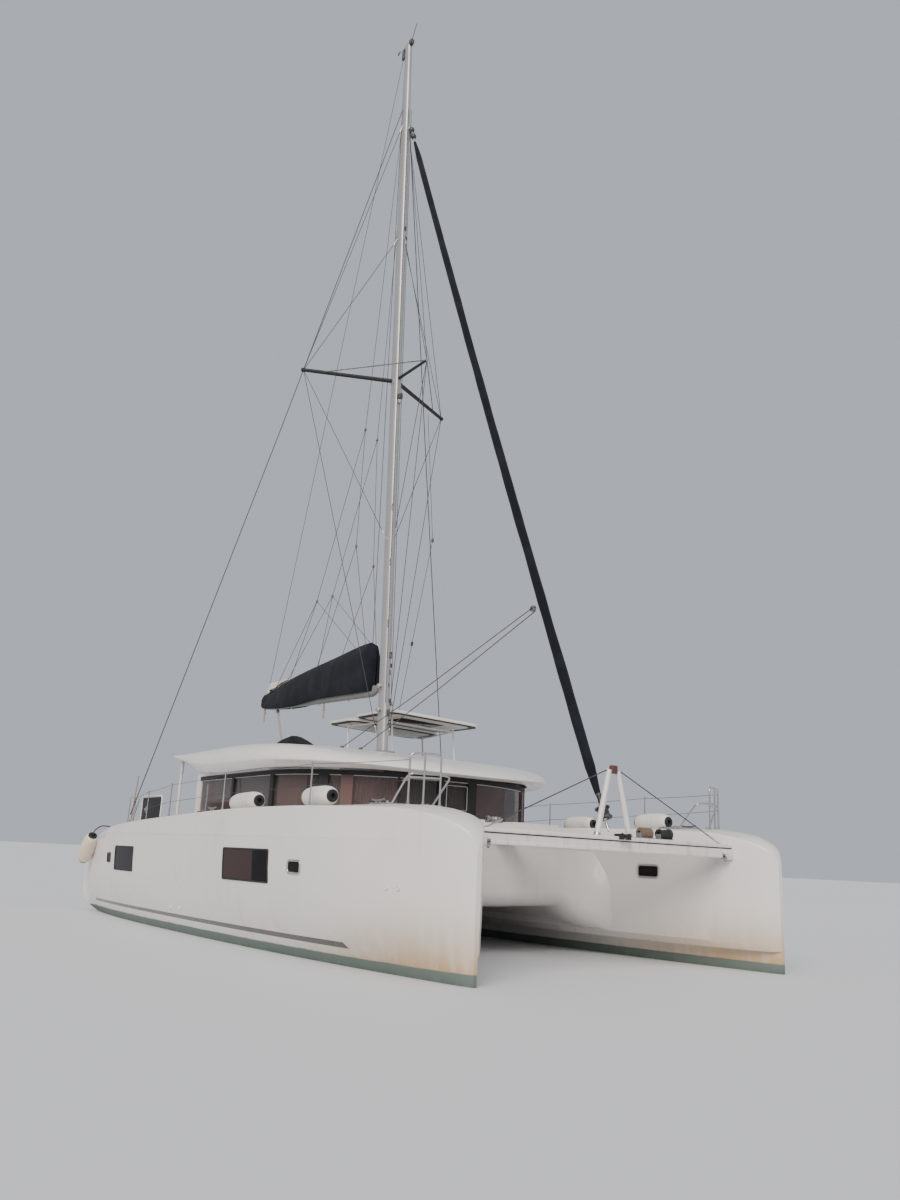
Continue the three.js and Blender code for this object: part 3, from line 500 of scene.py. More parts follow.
GROUPS = {}
GROUP_MAKERS = {
    "weather": weather_group, "weave": weave_group, "metal": metal_group, "tread": tread_group, "wear": wear_group,
}


def use_group(tree, name, inputs):
    if name not in GROUPS:
        GROUPS[name] = GROUP_MAKERS[name]()
    return node(tree, "Group", inputs, node_tree=GROUPS[name]).outputs


# ---------------------------------------------------------------- materials


def rgba(colour):
    return (*colour[:3], 1)


def start_material(name):
    material = bpy.data.materials.new(name)
    material.use_nodes = True
    tree = material.node_tree
    shader = tree.nodes["Principled BSDF"]
    place = node(tree, "TexCoord").outputs["Object"]
    return material, tree, shader, place


def feed(tree, shader, colour=None, roughness=None, height=None, relief=0.002, **plain):
    if colour:
        tree.links.new(colour, shader.inputs["Base Color"])
    if roughness:
        tree.links.new(roughness, shader.inputs["Roughness"])
    if height:
        bump = node(tree, "Bump", {"Height": height, "Distance": relief, "Strength": 0.6})
        tree.links.new(bump.outputs[0], shader.inputs["Normal"])
    for key, value in plain.items():
        shader.inputs[key.replace("_", " ")].default_value = value


def moulded(name, colour, stain=(0.3, 0.25, 0.17), amount=0.25, gloss=0.22, coat=0.3, scale=0.8, rubbed=0.0):
    """Gelcoat, paint or plastic with weathering, and rubbed edges where asked."""
    material, tree, shader, place = start_material(name)
    made = use_group(tree, "weather", {
        "Vector": place, "Color": rgba(colour), "Stain": rgba(stain), "Scale": scale, "Amount": amount, "Gloss": gloss,
    })
    shade = made["Color"]
    if rubbed:
        edge = node(tree, "NewGeometry").outputs["Pointiness"]
        wear = use_group(tree, "wear", {"Vector": place, "Edge": edge, "Amount": rubbed})["Mask"]
        shade = mixed(tree, wear, shade, (0.4, 0.4, 0.39, 1))
    feed(tree, shader, shade, made["Roughness"], made["Height"], 0.0006, Coat_Weight=coat, Coat_Roughness=0.15)
    return material


def drawn(name, colour, gloss=0.2, scale=3.0, metallic=1.0):
    material, tree, shader, place = start_material(name)
    made = use_group(tree, "metal", {"Vector": place, "Color": rgba(colour), "Scale": scale, "Gloss": gloss})
    feed(tree, shader, made["Color"], made["Roughness"], made["Height"], 0.0003, Metallic=metallic)
    return material


def woven(name, colour, faded, threads=500.0, roughness=0.9, sheen=0.1, folds=0.0):
    """Cloth; folds adds soft wrinkles of that height in metres."""
    material, tree, shader, place = start_material(name)
    made = use_group(tree, "weave", {"Vector": place, "Color": rgba(colour), "Faded": rgba(faded), "Threads": threads})
    height = made["Height"]
    if folds:
        soft = noise_of(tree, place, 5, 2, (1, 1, 2.5))
        height = plus(tree, times(tree, height, 0.04), soft)
    feed(
        tree, shader, made["Color"], None, height, folds or 0.0006, Roughness=roughness, Sheen_Weight=sheen,
        Specular_IOR_Level=0.15,
    )
    return material


def rope(name, colour, fleck):
    material, tree, shader, place = start_material(name)
    strands = {"Vector": place, "Scale": 60.0, "Distortion": 1.5}
    twist = node(tree, "TexWave", strands, bands_direction="DIAGONAL").outputs["Fac"]
    feed(tree, shader, mixed(tree, twist, rgba(colour), rgba(fleck)), None, twist, 0.001, Roughness=0.8)
    return material


def hull_finish():
    """White sides with the antifouling, its stained edge and the low stripe along the outer side."""
    material, tree, shader, place = start_material("hull_gelcoat")
    look = bpy.context.scene.catamaran_finish
    x, y, z = node(tree, "SeparateXYZ", {0: place}).outputs
    made = use_group(tree, "weather", {
        "Vector": place, "Color": rgba(look.gelcoat), "Stain": (0.34, 0.27, 0.17, 1), "Scale": 0.7,
        "Amount": 0.22, "Gloss": 0.2,
    })
    ragged = noise_of(tree, place, 5, 5)
    level = plus(tree, z, times(tree, calc(tree, "SUBTRACT", ragged, 0.5), 0.018))
    far_forward = step_between(tree, x, 2.2, 6.0)
    reach = plus(tree, look.antifouling_height + 0.05, times(tree, far_forward, 0.9))
    rising = calc(tree, "SUBTRACT", 1.0, node(tree, "MapRange", {
        "Value": level, "From Min": look.antifouling_height, "From Max": reach,
    }).outputs[0])
    rust = times(tree, calc(tree, "POWER", rising, 1.6), plus(tree, 0.12, times(tree, far_forward, 0.85)))
    drips = noise_of(tree, place, 2.5, 5, (3, 3, 0.25))
    rust = times(tree, rust, step_between(tree, drips, -0.15, 0.6))
    shade = mixed(tree, rust, made["Color"], (0.52, 0.34, 0.155, 1))
    forward = node(tree, "MapRange", {"Value": x, "From Min": -5.4, "From Max": 4.8}).outputs[0]
    half = plus(tree, 0.028, times(tree, forward, 0.01))
    off = calc(tree, "ABSOLUTE", calc(tree, "SUBTRACT", z, look.stripe_height))
    stripe = step_between(tree, calc(tree, "SUBTRACT", off, half), 0.002, -0.002)
    slant = plus(tree, x, times(tree, z, 1.2))
    ends = times(tree, step_between(tree, slant, 4.7, 4.69), step_between(tree, x, -5.77, -5.75))
    outside = step_between(tree, calc(tree, "ABSOLUTE", y), 2.9, 2.95)
    stripe = times(tree, times(tree, stripe, ends), outside)
    shade = mixed(tree, stripe, shade, rgba(look.stripe))
    under = step_between(tree, level, look.antifouling_height + 0.014, look.antifouling_height - 0.012)
    slime = times(tree, step_between(tree, level, 0.12, -0.02), step_between(tree, drips, 0.2, 0.6))
    paint = mixed(tree, slime, rgba(look.antifouling), (0.09, 0.13, 0.1, 1))
    shade = mixed(tree, under, shade, paint)
    rough = plus(tree, made["Roughness"], times(tree, under, 0.45))
    feed(tree, shader, shade, rough, made["Height"], 0.0006, Coat_Roughness=0.12)
    tree.links.new(times(tree, calc(tree, "SUBTRACT", 1.0, under), 0.3), shader.inputs["Coat Weight"])
    return material


def deck_finish():
    """Gelcoat that is gritty where it is walked on."""
    material, tree, shader, place = start_material("deck_gelcoat")
    look = bpy.context.scene.catamaran_finish
    made = use_group(tree, "weather", {
        "Vector": place, "Color": rgba(look.deck), "Stain": (0.33, 0.3, 0.24, 1), "Scale": 1.6, "Amount": 0.5,
        "Gloss": 0.4,
    })
    tread = use_group(tree, "tread", {"Vector": place, "Size": 90.0})
    up = node(tree, "SeparateXYZ", {0: node(tree, "NewGeometry").outputs["Normal"]}).outputs["Z"]
    flat = step_between(tree, up, 0.97, 0.985)
    grime = times(tree, times(tree, tread["Mask"], flat), 0.3)
    shade = mixed(tree, grime, made["Color"], (0.42, 0.41, 0.38, 1))
    feed(tree, shader, shade, made["Roughness"], times(tree, tread["Height"], flat), 0.0012)
    return material


def glass_finish():
    """Tinted glazing with a dusty bloom."""
    material, tree, shader, place = start_material("tinted_glass")
    bloom = noise_of(tree, place, 1.4, 4, (1, 1, 0.4))
    shade = mixed(tree, times(tree, bloom, 0.3), rgba(bpy.context.scene.catamaran_finish.glass), (0.45, 0.34, 0.32, 1))
    rough = times(tree, step_between(tree, bloom, 0.3, 0.9), 0.12)
    feed(tree, shader, shade, rough, Transmission_Weight=0.94, IOR=1.3, Alpha=1.0)
    return material


def dark_pane():
    """Nearly black window pane with a faint reflection of dust."""
    material, tree, shader, place = start_material("dark_pane")
    bloom = noise_of(tree, place, 3, 4)
    shade = mixed(tree, bloom, (0.009, 0.008, 0.009, 1), (0.024, 0.02, 0.021, 1))
    feed(tree, shader, shade, plus(tree, 0.1, times(tree, bloom, 0.15)), IOR=1.12)
    return material


def cabin_pane():
    """Pane of a hull window: the brown shade behind it shows in its after part, its stripes painted shade of the
    pleats.
    """
    material, tree, shader, place = start_material("cabin_pane")
    x = node(tree, "SeparateXYZ", {0: place}).outputs[0]
    shaded = step_between(tree, x, 2.27, 2.25)
    # Stripes across the cloth: painted shade of the shade's pleats.
    pleat_painted_shade = node(tree, "TexWave", {"Vector": place, "Scale": 9.0}).outputs["Fac"]
    cloth = mixed(tree, times(tree, pleat_painted_shade, 0.3), (0.055, 0.037, 0.036, 1), (0.028, 0.018, 0.018, 1))
    dark = mixed(tree, noise_of(tree, place, 3, 4), (0.006, 0.006, 0.008, 1), (0.016, 0.015, 0.018, 1))
    roughness = plus(tree, 0.1, times(tree, noise_of(tree, place, 4), 0.16))
    feed(tree, shader, mixed(tree, shaded, dark, cloth), roughness, IOR=1.12)
    return material


MESHES_PER_METRE = 26.0


def net_finish():
    """Knotless netting: square meshes cut out by its alpha."""
    material, tree, shader, place = start_material("netting")
    meshes = node(tree, "VectorMath", {0: place, "Scale": MESHES_PER_METRE}, operation="SCALE").outputs[0]
    parts = node(tree, "SeparateXYZ", {0: meshes}).outputs[:2]
    lines = [calc(tree, "ABSOLUTE", calc(tree, "SUBTRACT", calc(tree, "FRACT", part), 0.5)) for part in parts]
    thread = step_between(tree, calc(tree, "MINIMUM", *lines), 0.16, 0.13)
    worn = noise_of(tree, place, 3, 4)
    shade = mixed(tree, worn, rgba(bpy.context.scene.catamaran_finish.net), (0.45, 0.42, 0.36, 1))
    feed(tree, shader, shade, None, thread, 0.002, Roughness=0.85)
    tree.links.new(thread, shader.inputs["Alpha"])
    return material


def lens(name, colour):
    material, tree, shader, place = start_material(name)
    ribs = node(tree, "TexWave", {"Vector": place, "Scale": 60.0}, bands_direction="Z").outputs["Fac"]
    shade = mixed(tree, ribs, rgba(colour), rgba([c * 0.6 for c in colour]))
    feed(tree, shader, shade, None, ribs, 0.001, Roughness=0.12, Transmission_Weight=0.4)
    return material


def screen_finish():
    material, tree, shader, place = start_material("instrument_face")
    smudge = noise_of(tree, place, 12, 4)
    shade = mixed(tree, smudge, (0.01, 0.012, 0.014, 1), (0.03, 0.032, 0.035, 1))
    feed(tree, shader, shade, times(tree, smudge, 0.25), Coat_Weight=0.6)
    return material


def make_finish(name):
    look = bpy.context.scene.catamaran_finish
    makers = {
        "hull": hull_finish, "deck": deck_finish, "glass": glass_finish, "pane": dark_pane, "cabin_pane": cabin_pane,
        "net": net_finish, "screen": screen_finish,
        "gelcoat": lambda: moulded("moulded_gelcoat", look.gelcoat, amount=0.3),
        # The hard top's underside: gelcoat darkened to grey as painted shade under the top.
        "underside_painted_shade": lambda: moulded("grey_underside_painted_shade", (0.5, 0.49, 0.47), amount=0.15, gloss=0.4, coat=0.0),
        "antifouling": lambda: moulded("antifouling_paint", look.antifouling, (0.1, 0.13, 0.08), 0.8, 0.65, 0.0, 3),
        "spar": lambda: drawn("anodised_spar", look.spar, 0.3, 1.2, 0.55),
        "alloy": lambda: drawn("bare_alloy", (0.62, 0.62, 0.6), 0.25),
        "steel": lambda: drawn("polished_steel", (0.66, 0.64, 0.62), 0.1, 6),
        "wire": lambda: drawn("rigging_wire", (0.09, 0.09, 0.1), 0.4, 40, 0.6),
        "bronze": lambda: drawn("cast_bronze", (0.4, 0.28, 0.13), 0.3, 8),
        "zinc": lambda: drawn("galvanised", (0.42, 0.41, 0.4), 0.42, 9),
        "black": lambda: moulded("black_fittings", (0.018, 0.018, 0.02), (0.14, 0.13, 0.12), 0.3, 0.35, 0.1, 3, 0.5),
        "gasket": lambda: moulded("black_rubber", (0.014, 0.013, 0.014), (0.09, 0.08, 0.08), 0.4, 0.55, 0.0, 4),
        "red": lambda: moulded("weathered_red", (0.11, 0.035, 0.028), (0.12, 0.06, 0.04), 0.7, 0.5, 0.0, 8),
        "canvas": lambda: woven(
            "sail_canvas", look.canvas, [c * 1.7 + 0.003 for c in look.canvas], sheen=0.05, folds=0.01,
        ),
        # The boom's finish is the spar colour darkened to 45 per cent: painted shade on the boom.
        "boom": lambda: drawn("spar_colour_darkened_painted_shade", [c * 0.45 for c in look.spar], 0.4, 1.2, 0.2),
        "beam": lambda: moulded("beam_paint", look.gelcoat, (0.25, 0.13, 0.06), 0.9, 0.3, 0.1, 1.7),
        "cover": lambda: woven("roof_canvas", (0.008, 0.009, 0.012), (0.02, 0.02, 0.024), sheen=0.05, folds=0.01),
        "shade": lambda: woven("window_cloth_sheet", look.shade, [c * 0.85 for c in look.shade], 300, 0.8, 0.05),
        # A lighter copy of the shades' cloth: painted light on one panel.
        "blind_painted_light": lambda: woven("sunlit_shade", [c * 1.2 for c in look.shade], look.shade, 300, 0.8, 0.05),
        # A darker copy of the shades' cloth: painted shade on some panels.
        "blind_painted_shade": lambda: woven(
            "blind_dimmed_by_painted_shade", [c * 0.5 for c in look.shade], [c * 0.4 for c in look.shade], 300, 0.8, 0.05,
        ),
        "tint": lambda: moulded("brown_tint", (0.13, 0.065, 0.06), (0.16, 0.1, 0.09), 0.2, 0.4, 0.0),
        # A near-black sheet behind glass that has no shade: painted shadow of the unlit saloon.
        "painted_shadow_sheet": lambda: woven("unlit_saloon_painted_shadow", (0.012, 0.011, 0.014), (0.02, 0.018, 0.02), 300, 0.9, 0.0),
        "tan_rope": lambda: rope("tan_rope", (0.5, 0.34, 0.2), (0.34, 0.25, 0.16)),
        "cream": lambda: moulded("cream_vinyl", (0.78, 0.67, 0.52), (0.4, 0.33, 0.24), 0.5, 0.42, 0.05, 3),
        "wood": lambda: moulded("varnished_wood", (0.36, 0.2, 0.1), (0.2, 0.12, 0.07), 0.8, 0.3, 0.4, 9),
        "sailcloth": lambda: woven("sailcloth", (0.62, 0.59, 0.54), (0.5, 0.47, 0.41), 300, 0.7, 0.1, 0.006),
        "cushion": lambda: woven("cushion_cloth", (0.3, 0.29, 0.28), (0.36, 0.35, 0.33), 600, 0.9, 0.3),
        "webbing": lambda: woven("net_webbing", (0.6, 0.57, 0.52), (0.45, 0.42, 0.37), 200, 0.9, 0.1),
        "vinyl": lambda: moulded("fender_vinyl", look.fender, (0.36, 0.32, 0.25), 0.6, 0.42, 0.05, 3),
        "brown_rope": lambda: rope("brown_rope", (0.2, 0.14, 0.1), (0.09, 0.065, 0.05)),
        "white_rope": lambda: rope("white_rope", (0.55, 0.52, 0.47), (0.35, 0.33, 0.3)),
        "grey_rope": lambda: rope("grey_rope", (0.1, 0.1, 0.1), (0.05, 0.05, 0.055)),
        "black_rope": lambda: rope("black_rope", (0.03, 0.03, 0.035), (0.07, 0.07, 0.08)),
        "red_lens": lambda: lens("red_lens", (0.5, 0.02, 0.02)),
        "green_lens": lambda: lens("green_lens", (0.02, 0.35, 0.12)),
        "white_lens": lambda: lens("white_lens", (0.75, 0.75, 0.72)),
    }
    return makers[name]()


FINISHES = {}


def finish_named(name):
    if name not in FINISHES:
        FINISHES[name] = make_finish(name)
    return FINISHES[name]


def dress(finish, *nodes):
    """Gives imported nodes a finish."""
    for name in nodes:
        for entry in frame["nodes"][name].material_slots:
            entry.material = finish_named(finish)


# ---------------------------------------------------------------- sizes and colours


def colour_setting(name, meaning, default):
    return FloatVectorProperty(name=name, description=meaning, subtype="COLOR", default=default)


def size_setting(name, meaning, default):
    return FloatProperty(name=name, description=meaning, unit="LENGTH", default=default)


class CatamaranFinish(bpy.types.PropertyGroup):
    gelcoat: colour_setting("Gelcoat", "Colour of hulls and roof", (0.8, 0.77, 0.74))
    deck: colour_setting("Deck", "Colour of the decks", (0.72, 0.7, 0.67))
    antifouling: colour_setting("Antifouling", "Colour below the waterline", (0.135, 0.17, 0.152))
    stripe: colour_setting("Stripe", "Colour of the low stripe", (0.075, 0.071, 0.068))
    glass: colour_setting("Glass", "Tint of the saloon glazing", (0.6, 0.54, 0.53))
    shade: colour_setting("Shades", "Colour of the window shades", (0.42, 0.315, 0.31))
    spar: colour_setting("Spars", "Colour of mast and boom", (0.5, 0.49, 0.48))
    canvas: colour_setting("Canvas", "Colour of bag and sail cover", (0.006, 0.0075, 0.0115))
    fender: colour_setting("Fenders", "Colour of the fenders", (0.78, 0.75, 0.7))
    net: colour_setting("Nets", "Colour of the netting", (0.6, 0.58, 0.53))
    antifouling_height: size_setting("Antifouling height", "Top of the antifouling", 0.137)
    stripe_height: size_setting("Stripe height", "Middle of the stripe", 0.275)


class CatamaranRig(bpy.types.PropertyGroup):
    shroud: size_setting("Shroud radius", "Radius of the cap shrouds", 0.01)
    diamond: size_setting("Diamond radius", "Radius of the diamond stays", 0.007)
    rope: size_setting("Rope radius", "Radius of halyards and sheets", 0.0085)
    light_line: size_setting("Light line radius", "Radius of lazy jacks and flag lines", 0.006)
    stay_sag: size_setting("Headsail sag", "How far the furled headsail hangs aft", 0.06)


class CatamaranGear(bpy.types.PropertyGroup):
    rail: size_setting("Rail radius", "Radius of pulpit tubes", 0.0135)
    stanchion: size_setting("Stanchion radius", "Radius of the stanchions", 0.0125)
    lifeline: size_setting("Lifeline radius", "Radius of the lifelines", 0.004)
    cushion_steps: IntProperty(
        name="Cushion steps", description="Frames for which a cushion is blown up", default=20, min=1
    )


class CatamaranStudio(bpy.types.PropertyGroup):
    floor: colour_setting("Floor", "Colour of the floor", (0.72, 0.73, 0.75))
    light: FloatProperty(name="Light", description="Strength of the sky light", default=0.7)
    sun: FloatProperty(name="Sun", description="Strength of the soft sun", default=3.2)


# ---------------------------------------------------------------- hulls


def curved(points, steps):
    """Flat points on a smooth curve through the given ones."""
    return [(p.x, p.y) for p in flowing([(*p, 0) for p in points], steps)]


def hull_ring(x, side):
    """Points round a hull at x, from the keel line up the outer side, over the deck and down."""
    w, outer, inner, depth, deck, crown = along(HULL_STATIONS, x)
    crease, chine = min(1.6, deck - 0.15), min(0.4, deck - 0.35)
    flare = [w + (outer - w) * s for s in (0.6, 0.9)]
    bilge = [(0.9 * w, -0.45 * depth), (0.55 * w, -0.88 * depth)]
    outside = [(-0.55 * w, -0.88 * depth), (0, -depth), *bilge[::-1], (w, 0)]
    outside += [(flare[0], 0.28 * crease), (flare[1], 0.6 * crease), (outer * 0.994, crease - 0.05), (outer, crease)]
    deck_edge = [
        (outer * 0.992, crease + 0.03), (outer * 0.95, deck - 0.055), (outer * 0.925, deck - 0.012),
        (outer * 0.83, deck),
    ]
    inside_edge = [
        (0.15 * outer - inner, deck), (0.06 * outer - inner, deck - 0.012), (0.035 * outer - inner, deck - 0.05),
    ]
    inside = [(-inner, crease), (-0.985 * inner, chine), (-(w + 0.15 * (inner - w)), chine - 0.07), (-w, 0)]
    inside += [(-out, z) for out, z in bilge] + [(0, -depth)]
    points = curved(outside, 3)[3:] + curved(deck_edge, 2)
    points += [(0.5 * outer, deck + crown * 0.7), (0, deck + crown), (-0.45 * inner, deck + crown * 0.7)]
    points += curved(inside_edge, 2) + curved(inside, 3)[:-1]
    return [(x, side * (HULL_Y + out), z) for out, z in points]


def deck_at(x):
    row = along(HULL_STATIONS, x)
    return row[4] + row[5]


def side_at(x, z, side, outer=True):
    """The y of a hull's side at x and z."""
    ring = hull_ring(x, side)
    best = []
    for (_, ya, za), (_, yb, zb) in zip(ring, ring[1:] + ring[:1]):
        if (za - z) * (zb - z) <= 0 and abs(zb - za) > 1e-9:
            y = ya + (yb - ya) * (z - za) / (zb - za)
            if (abs(y) > HULL_Y) == outer:
                best.append(y)
    return (max if outer else min)(best, key=abs)


def build_hull(name):
    side = SIDES[name]
    xs = [-6.4, -6.35, -6.3, -6.2, -6.05] + [-5.9 + i * 0.2 for i in range(53)] + [4.6 + i * 0.1 for i in range(14)]
    xs += [5.95, 6.02, 6.08, 6.14, 6.19, 6.24, 6.28, 6.32, 6.35, 6.375, 6.39, 6.4]
    shell, stair = bmesh.new(), bmesh.new()
    skin(shell, [hull_ring(x, side) for x in sorted(set(round(x, 3) for x in xs))])
    profile = [(STEPS[0][0], STEPS[-1][1])]
    for (x, tread), (after, _) in zip(STEPS, STEPS[1:]):
        profile += [(x, tread), (after, tread)]
    profile.append(STEPS[-1])
    skin(stair, [[(x, side * (HULL_Y + out), z) for x, z in profile] for out in (-0.81, 0.58)])
    piece = Piece()
    piece.shapes["hull"] = carved(shell, stair)
    thing = piece.finish("hull_shell_" + name, slot="gelcoat", replaces=["hull_" + name], sharp=32)
    thing.data.materials.append(finish_named("deck"))
    for face in thing.data.polygons:
        if face.normal.z > 0.93 and face.center.z > 0.25:
            face.material_index = 1


def hull_pane(piece, finish, side, x0, x1, z0, z1, frame_finish, frame, outer=True, corner=0.03):
    """A pane that follows the hull's side, in a raised frame."""
    away = side if outer else -side

    def place(x, z, proud):
        return (x, side_at(x, z, side, outer) + away * proud, z)

    inset = corner * 0.3
    rows = spread(z0 + inset, z1 - inset, 4)
    across = spread(x0 + inset, x1 - inset, max(3, int((x1 - x0) / 0.15)))
    skin(piece[finish], [[place(x, z, 0.004) for z in rows] for x in across], closed=False)
    pipe(piece[frame_finish], [place(x, z, 0.003) for x, z in closed_path(outline(x0, x1, z0, z1, corner))], frame, 8)


def closed_path(points):
    """The same outline with long sides divided, ending where it starts."""
    found = []
    for a, b in zip(points, points[1:] + points[:1]):
        count = max(1, int(math.dist(a, b) / 0.2))
        found += [(a[0] + (b[0] - a[0]) * i / count, a[1] + (b[1] - a[1]) * i / count) for i in range(count)]
    return found + [points[0]]


# pane, its x and z from and to, frame, its radius, whether it is on the outer side, corner radius
HULL_PANES = [
    ("cabin_pane", 1.29, 2.73, 0.965, 1.41, "gasket", 0.013, True, 0.015),
    ("pane", -3.88, -2.79, 0.925, 1.355, "gasket", 0.012, True, 0.015),
    ("pane", 3.28, 3.6, 1.12, 1.285, "alloy", 0.016, True, 0.05),
    ("pane", -4.4, -4.18, 1.05, 1.22, "gasket", 0.01),
    ("pane", 4.29, 4.67, 1.268, 1.455, "alloy", 0.018, False, 0.05),
]
DRAINS = ((5.3, 1.03), (5.49, 1.03), (-0.97, 0.41), (-0.57, 0.42))


class BuildHulls(bpy.types.Operator):
    """Both hulls with their steps, windows and ports."""

    bl_idname = "catamaran.build_hulls"
    bl_label = "Hulls"

    def execute(self, context):
        for name, side in SIDES.items():
            build_hull(name)
            piece = Piece()
            for finish, x0, x1, z0, z1, *frame in HULL_PANES:
                hull_pane(piece, finish, side, x0, x1, z0, z1, *frame)
            for x, z in DRAINS:
                lip = [(-0.01, 0.03), (0.012, 0.03), (0.018, 0.022), (0.01, 0.014), (0.004, 0.0)]
                turned(piece["gelcoat"], lip, (x, side_at(x, z, side), z), (0, side, 0))
            piece.finish("hull_windows_" + name, slot="glass")
        dress("antifouling", "keel_starboard", "keel_port", "rudder_starboard", "rudder_port")
        dress("alloy", "saildrive_starboard", "saildrive_port")
        dress("bronze", "propeller_starboard", "propeller_port")
        return {"FINISHED"}


# ---------------------------------------------------------------- deck and cabin


def cabin_point(share, inset=0.0):
    """A point on the cabin wall: -1 to 1 round the front, then straight aft to -2 or 2 at the bulkhead."""
    if abs(share) <= 1:
        turn = share * math.pi / 2
        return ((2.2 - inset) * math.cos(turn), (2.6 - inset) * math.sin(turn))
    return ((abs(share) - 1) * -3.1, math.copysign(2.6 - inset, share))


def roof_plan(front, half, aft, aft_half, steps=28):
    """The roof's outline: half an ellipse ahead of x=0 and narrowing sides behind it."""
    turns = spread(0, math.pi / 2, steps)[:-1]
    side = [(front * math.cos(turn), half * math.sin(turn)) for turn in turns]
    side += [(aft * s, half + (aft_half - half) * s * s) for s in (0, 0.12, 0.25, 0.38, 0.5, 0.63, 0.75, 0.88, 0.95, 1)]
    return side + [(x, -y) for x, y in reversed(side[1:])]


class BuildRoof(bpy.types.Operator):
    """The overhanging saloon roof with the well for the helm."""

    bl_idname = "catamaran.build_roof"
    bl_label = "Roof"

    def strip(self, bm, shares, inset, low, high):
        """A strip on the cabin wall."""
        rings = []
        for share in shares:
            a, b = cabin_point(share, inset), cabin_point(share, 0.03)
            rings.append([(*a, low), (*a, high), (*b, high), (*b, low)])
        skin(bm, rings)

    def execute(self, context):
        middle = (2.78 - 4.94) / 2
        rings = []
        for scale, rise in ROOF_RISE:
            ring = []
            for x, y in roof_plan(2.78, 2.92, -4.94, 2.5):
                px = middle + (x - middle) * scale
                edge, top = along(ROOF_EDGE, px)[0], along(ROOF_TOP, px)[0]
                wedge = 1 + 0.3 * limited((-3.4 - px) / 1.5)
                ring.append((px, y * scale, edge + (top - edge) * rise**wedge))
            rings.append(ring)
        inner = []
        for drop, scale in ((None, 0.99), (0.0, 0.985), (0.62, 0.96), (0.8, 0.9), (0.8, 0.5), (0.8, 0.1)):
            ring = []
            for x, y in roof_plan(2.45, 2.62, -4.5, 2.3):
                px = middle + (x - middle) * scale
                edge, top = along(ROOF_EDGE, px)[0], along(ROOF_TOP, px)[0] - 0.02
                ring.append((px, y * scale, 2.2 if drop is None else edge + (top - edge) * drop))
            inner.append(ring)
        shell, hollow, well = bmesh.new(), bmesh.new(), bmesh.new()
        skin(shell, rings)
        skin(hollow, inner)
        block(well, (-2.95, 0.48, 2.3), (-1.15, 2.23, 4.2), 0.05, 3)
        piece = Piece()
        piece.shapes["gelcoat"] = carved(shell, hollow, well)
        piece.finish("saloon_roof", slot="gelcoat", replaces=["coachroof"], sharp=30)
        heads = Piece()
        for y in (-2.4, 2.4):
            turned(heads["gelcoat"], [(0, 0.034), (0.01, 0.04), (0.27, 0.04), (0.28, 0)], (-4.6, y, 2.9), UP)
        heads.finish("roof_post_heads", slot="gelcoat")
        self.window_trim()
        return {"FINISHED"}

    def window_trim(self):
        trim = Piece()
        for low, high in ((2.668, 2.748), (2.045, 2.082)):
            self.strip(trim["gasket"], spread(-1.96, 1.96, 90), -0.012, low, high)
        for start, end in WINDOW_BARS:
            for sign in (-1, 1) if start < -0.5 else (1,):
                self.strip(trim["gasket"], [sign * share for share in spread(start, end, 2)], -0.01, 2.06, 2.69)
        for sign in (-1, 1):
            self.strip(trim["tint"], [sign * share for share in (0.488, 0.515, 0.542)], -0.006, 2.08, 2.67)
        hatch = [(-0.084, 2.2), (-0.084, 2.6), (0.018, 2.6), (0.018, 2.2), (-0.084, 2.2)]
        pipe(trim["alloy"], bent([(*cabin_point(share, -0.014), z) for share, z in hatch], 0.03), 0.008, 8)
        trim.finish("window_trim", slot="black")


# shares of the cabin wall that carry a dark upright, and those with a sheet behind the glass: the shades' cloth, its
# lighter and darker copies that are painted light and painted shade, or a near-black sheet of painted shadow
WINDOW_BARS = [(-1.47, -1.44), (-0.96, -0.93), (-0.65, -0.6), (-0.298, -0.29), (-0.12, -0.095), (0.025, 0.07)]
BLINDS_AND_SHADOW_SHEETS = [
    (-1.93, -1.455, "blind_painted_shade"), (-1.455, -0.945, "blind_painted_shade"), (-0.945, -0.735, "shade"),
    (-0.735, -0.62, "painted_shadow_sheet"), (-0.62, -0.401, "blind_painted_light"), (-0.401, -0.294, "shade"),
    (-0.294, -0.108, "painted_shadow_sheet"), (-0.108, 0.045, "painted_shadow_sheet"), (0.045, 0.32, "shade"), (0.32, 0.6, "blind_painted_shade"),
    (0.6, 0.945, "shade"), (0.945, 1.455, "shade"), (1.455, 1.93, "blind_painted_shade"),
]


class BuildShades(bpy.types.Operator):
    """Pleated shades behind the saloon windows; their lighter and darker copies are painted light and painted shade,
    and the near-black sheets are painted shadow of the unlit saloon.
    """

    bl_idname = "catamaran.build_shades"
    bl_label = "Window shades"

    def execute(self, context):
        for number, (start, end, finish) in enumerate(BLINDS_AND_SHADOW_SHEETS):
            points = [cabin_point(share, 0.13) for share in spread(start, end, 20)]
            length = sum(math.dist(a, b) for a, b in zip(points, points[1:]))
            columns = []
            for i, share in enumerate(spread(start, end, 4 * int(length / 0.045))):
                x, y = cabin_point(share, 0.13 + 0.012 * math.sin(i * math.pi / 2))
                columns.append([(x, y, z) for z in (2.07, 2.2, 2.35, 2.5, 2.62, 2.71)])
            piece = Piece()
            skin(piece[finish], columns, closed=False)
            sheet = piece.finish(f"window_cloth_sheet_{number + 1}", slot="canvas", sharp=60)
        return {"FINISHED"}


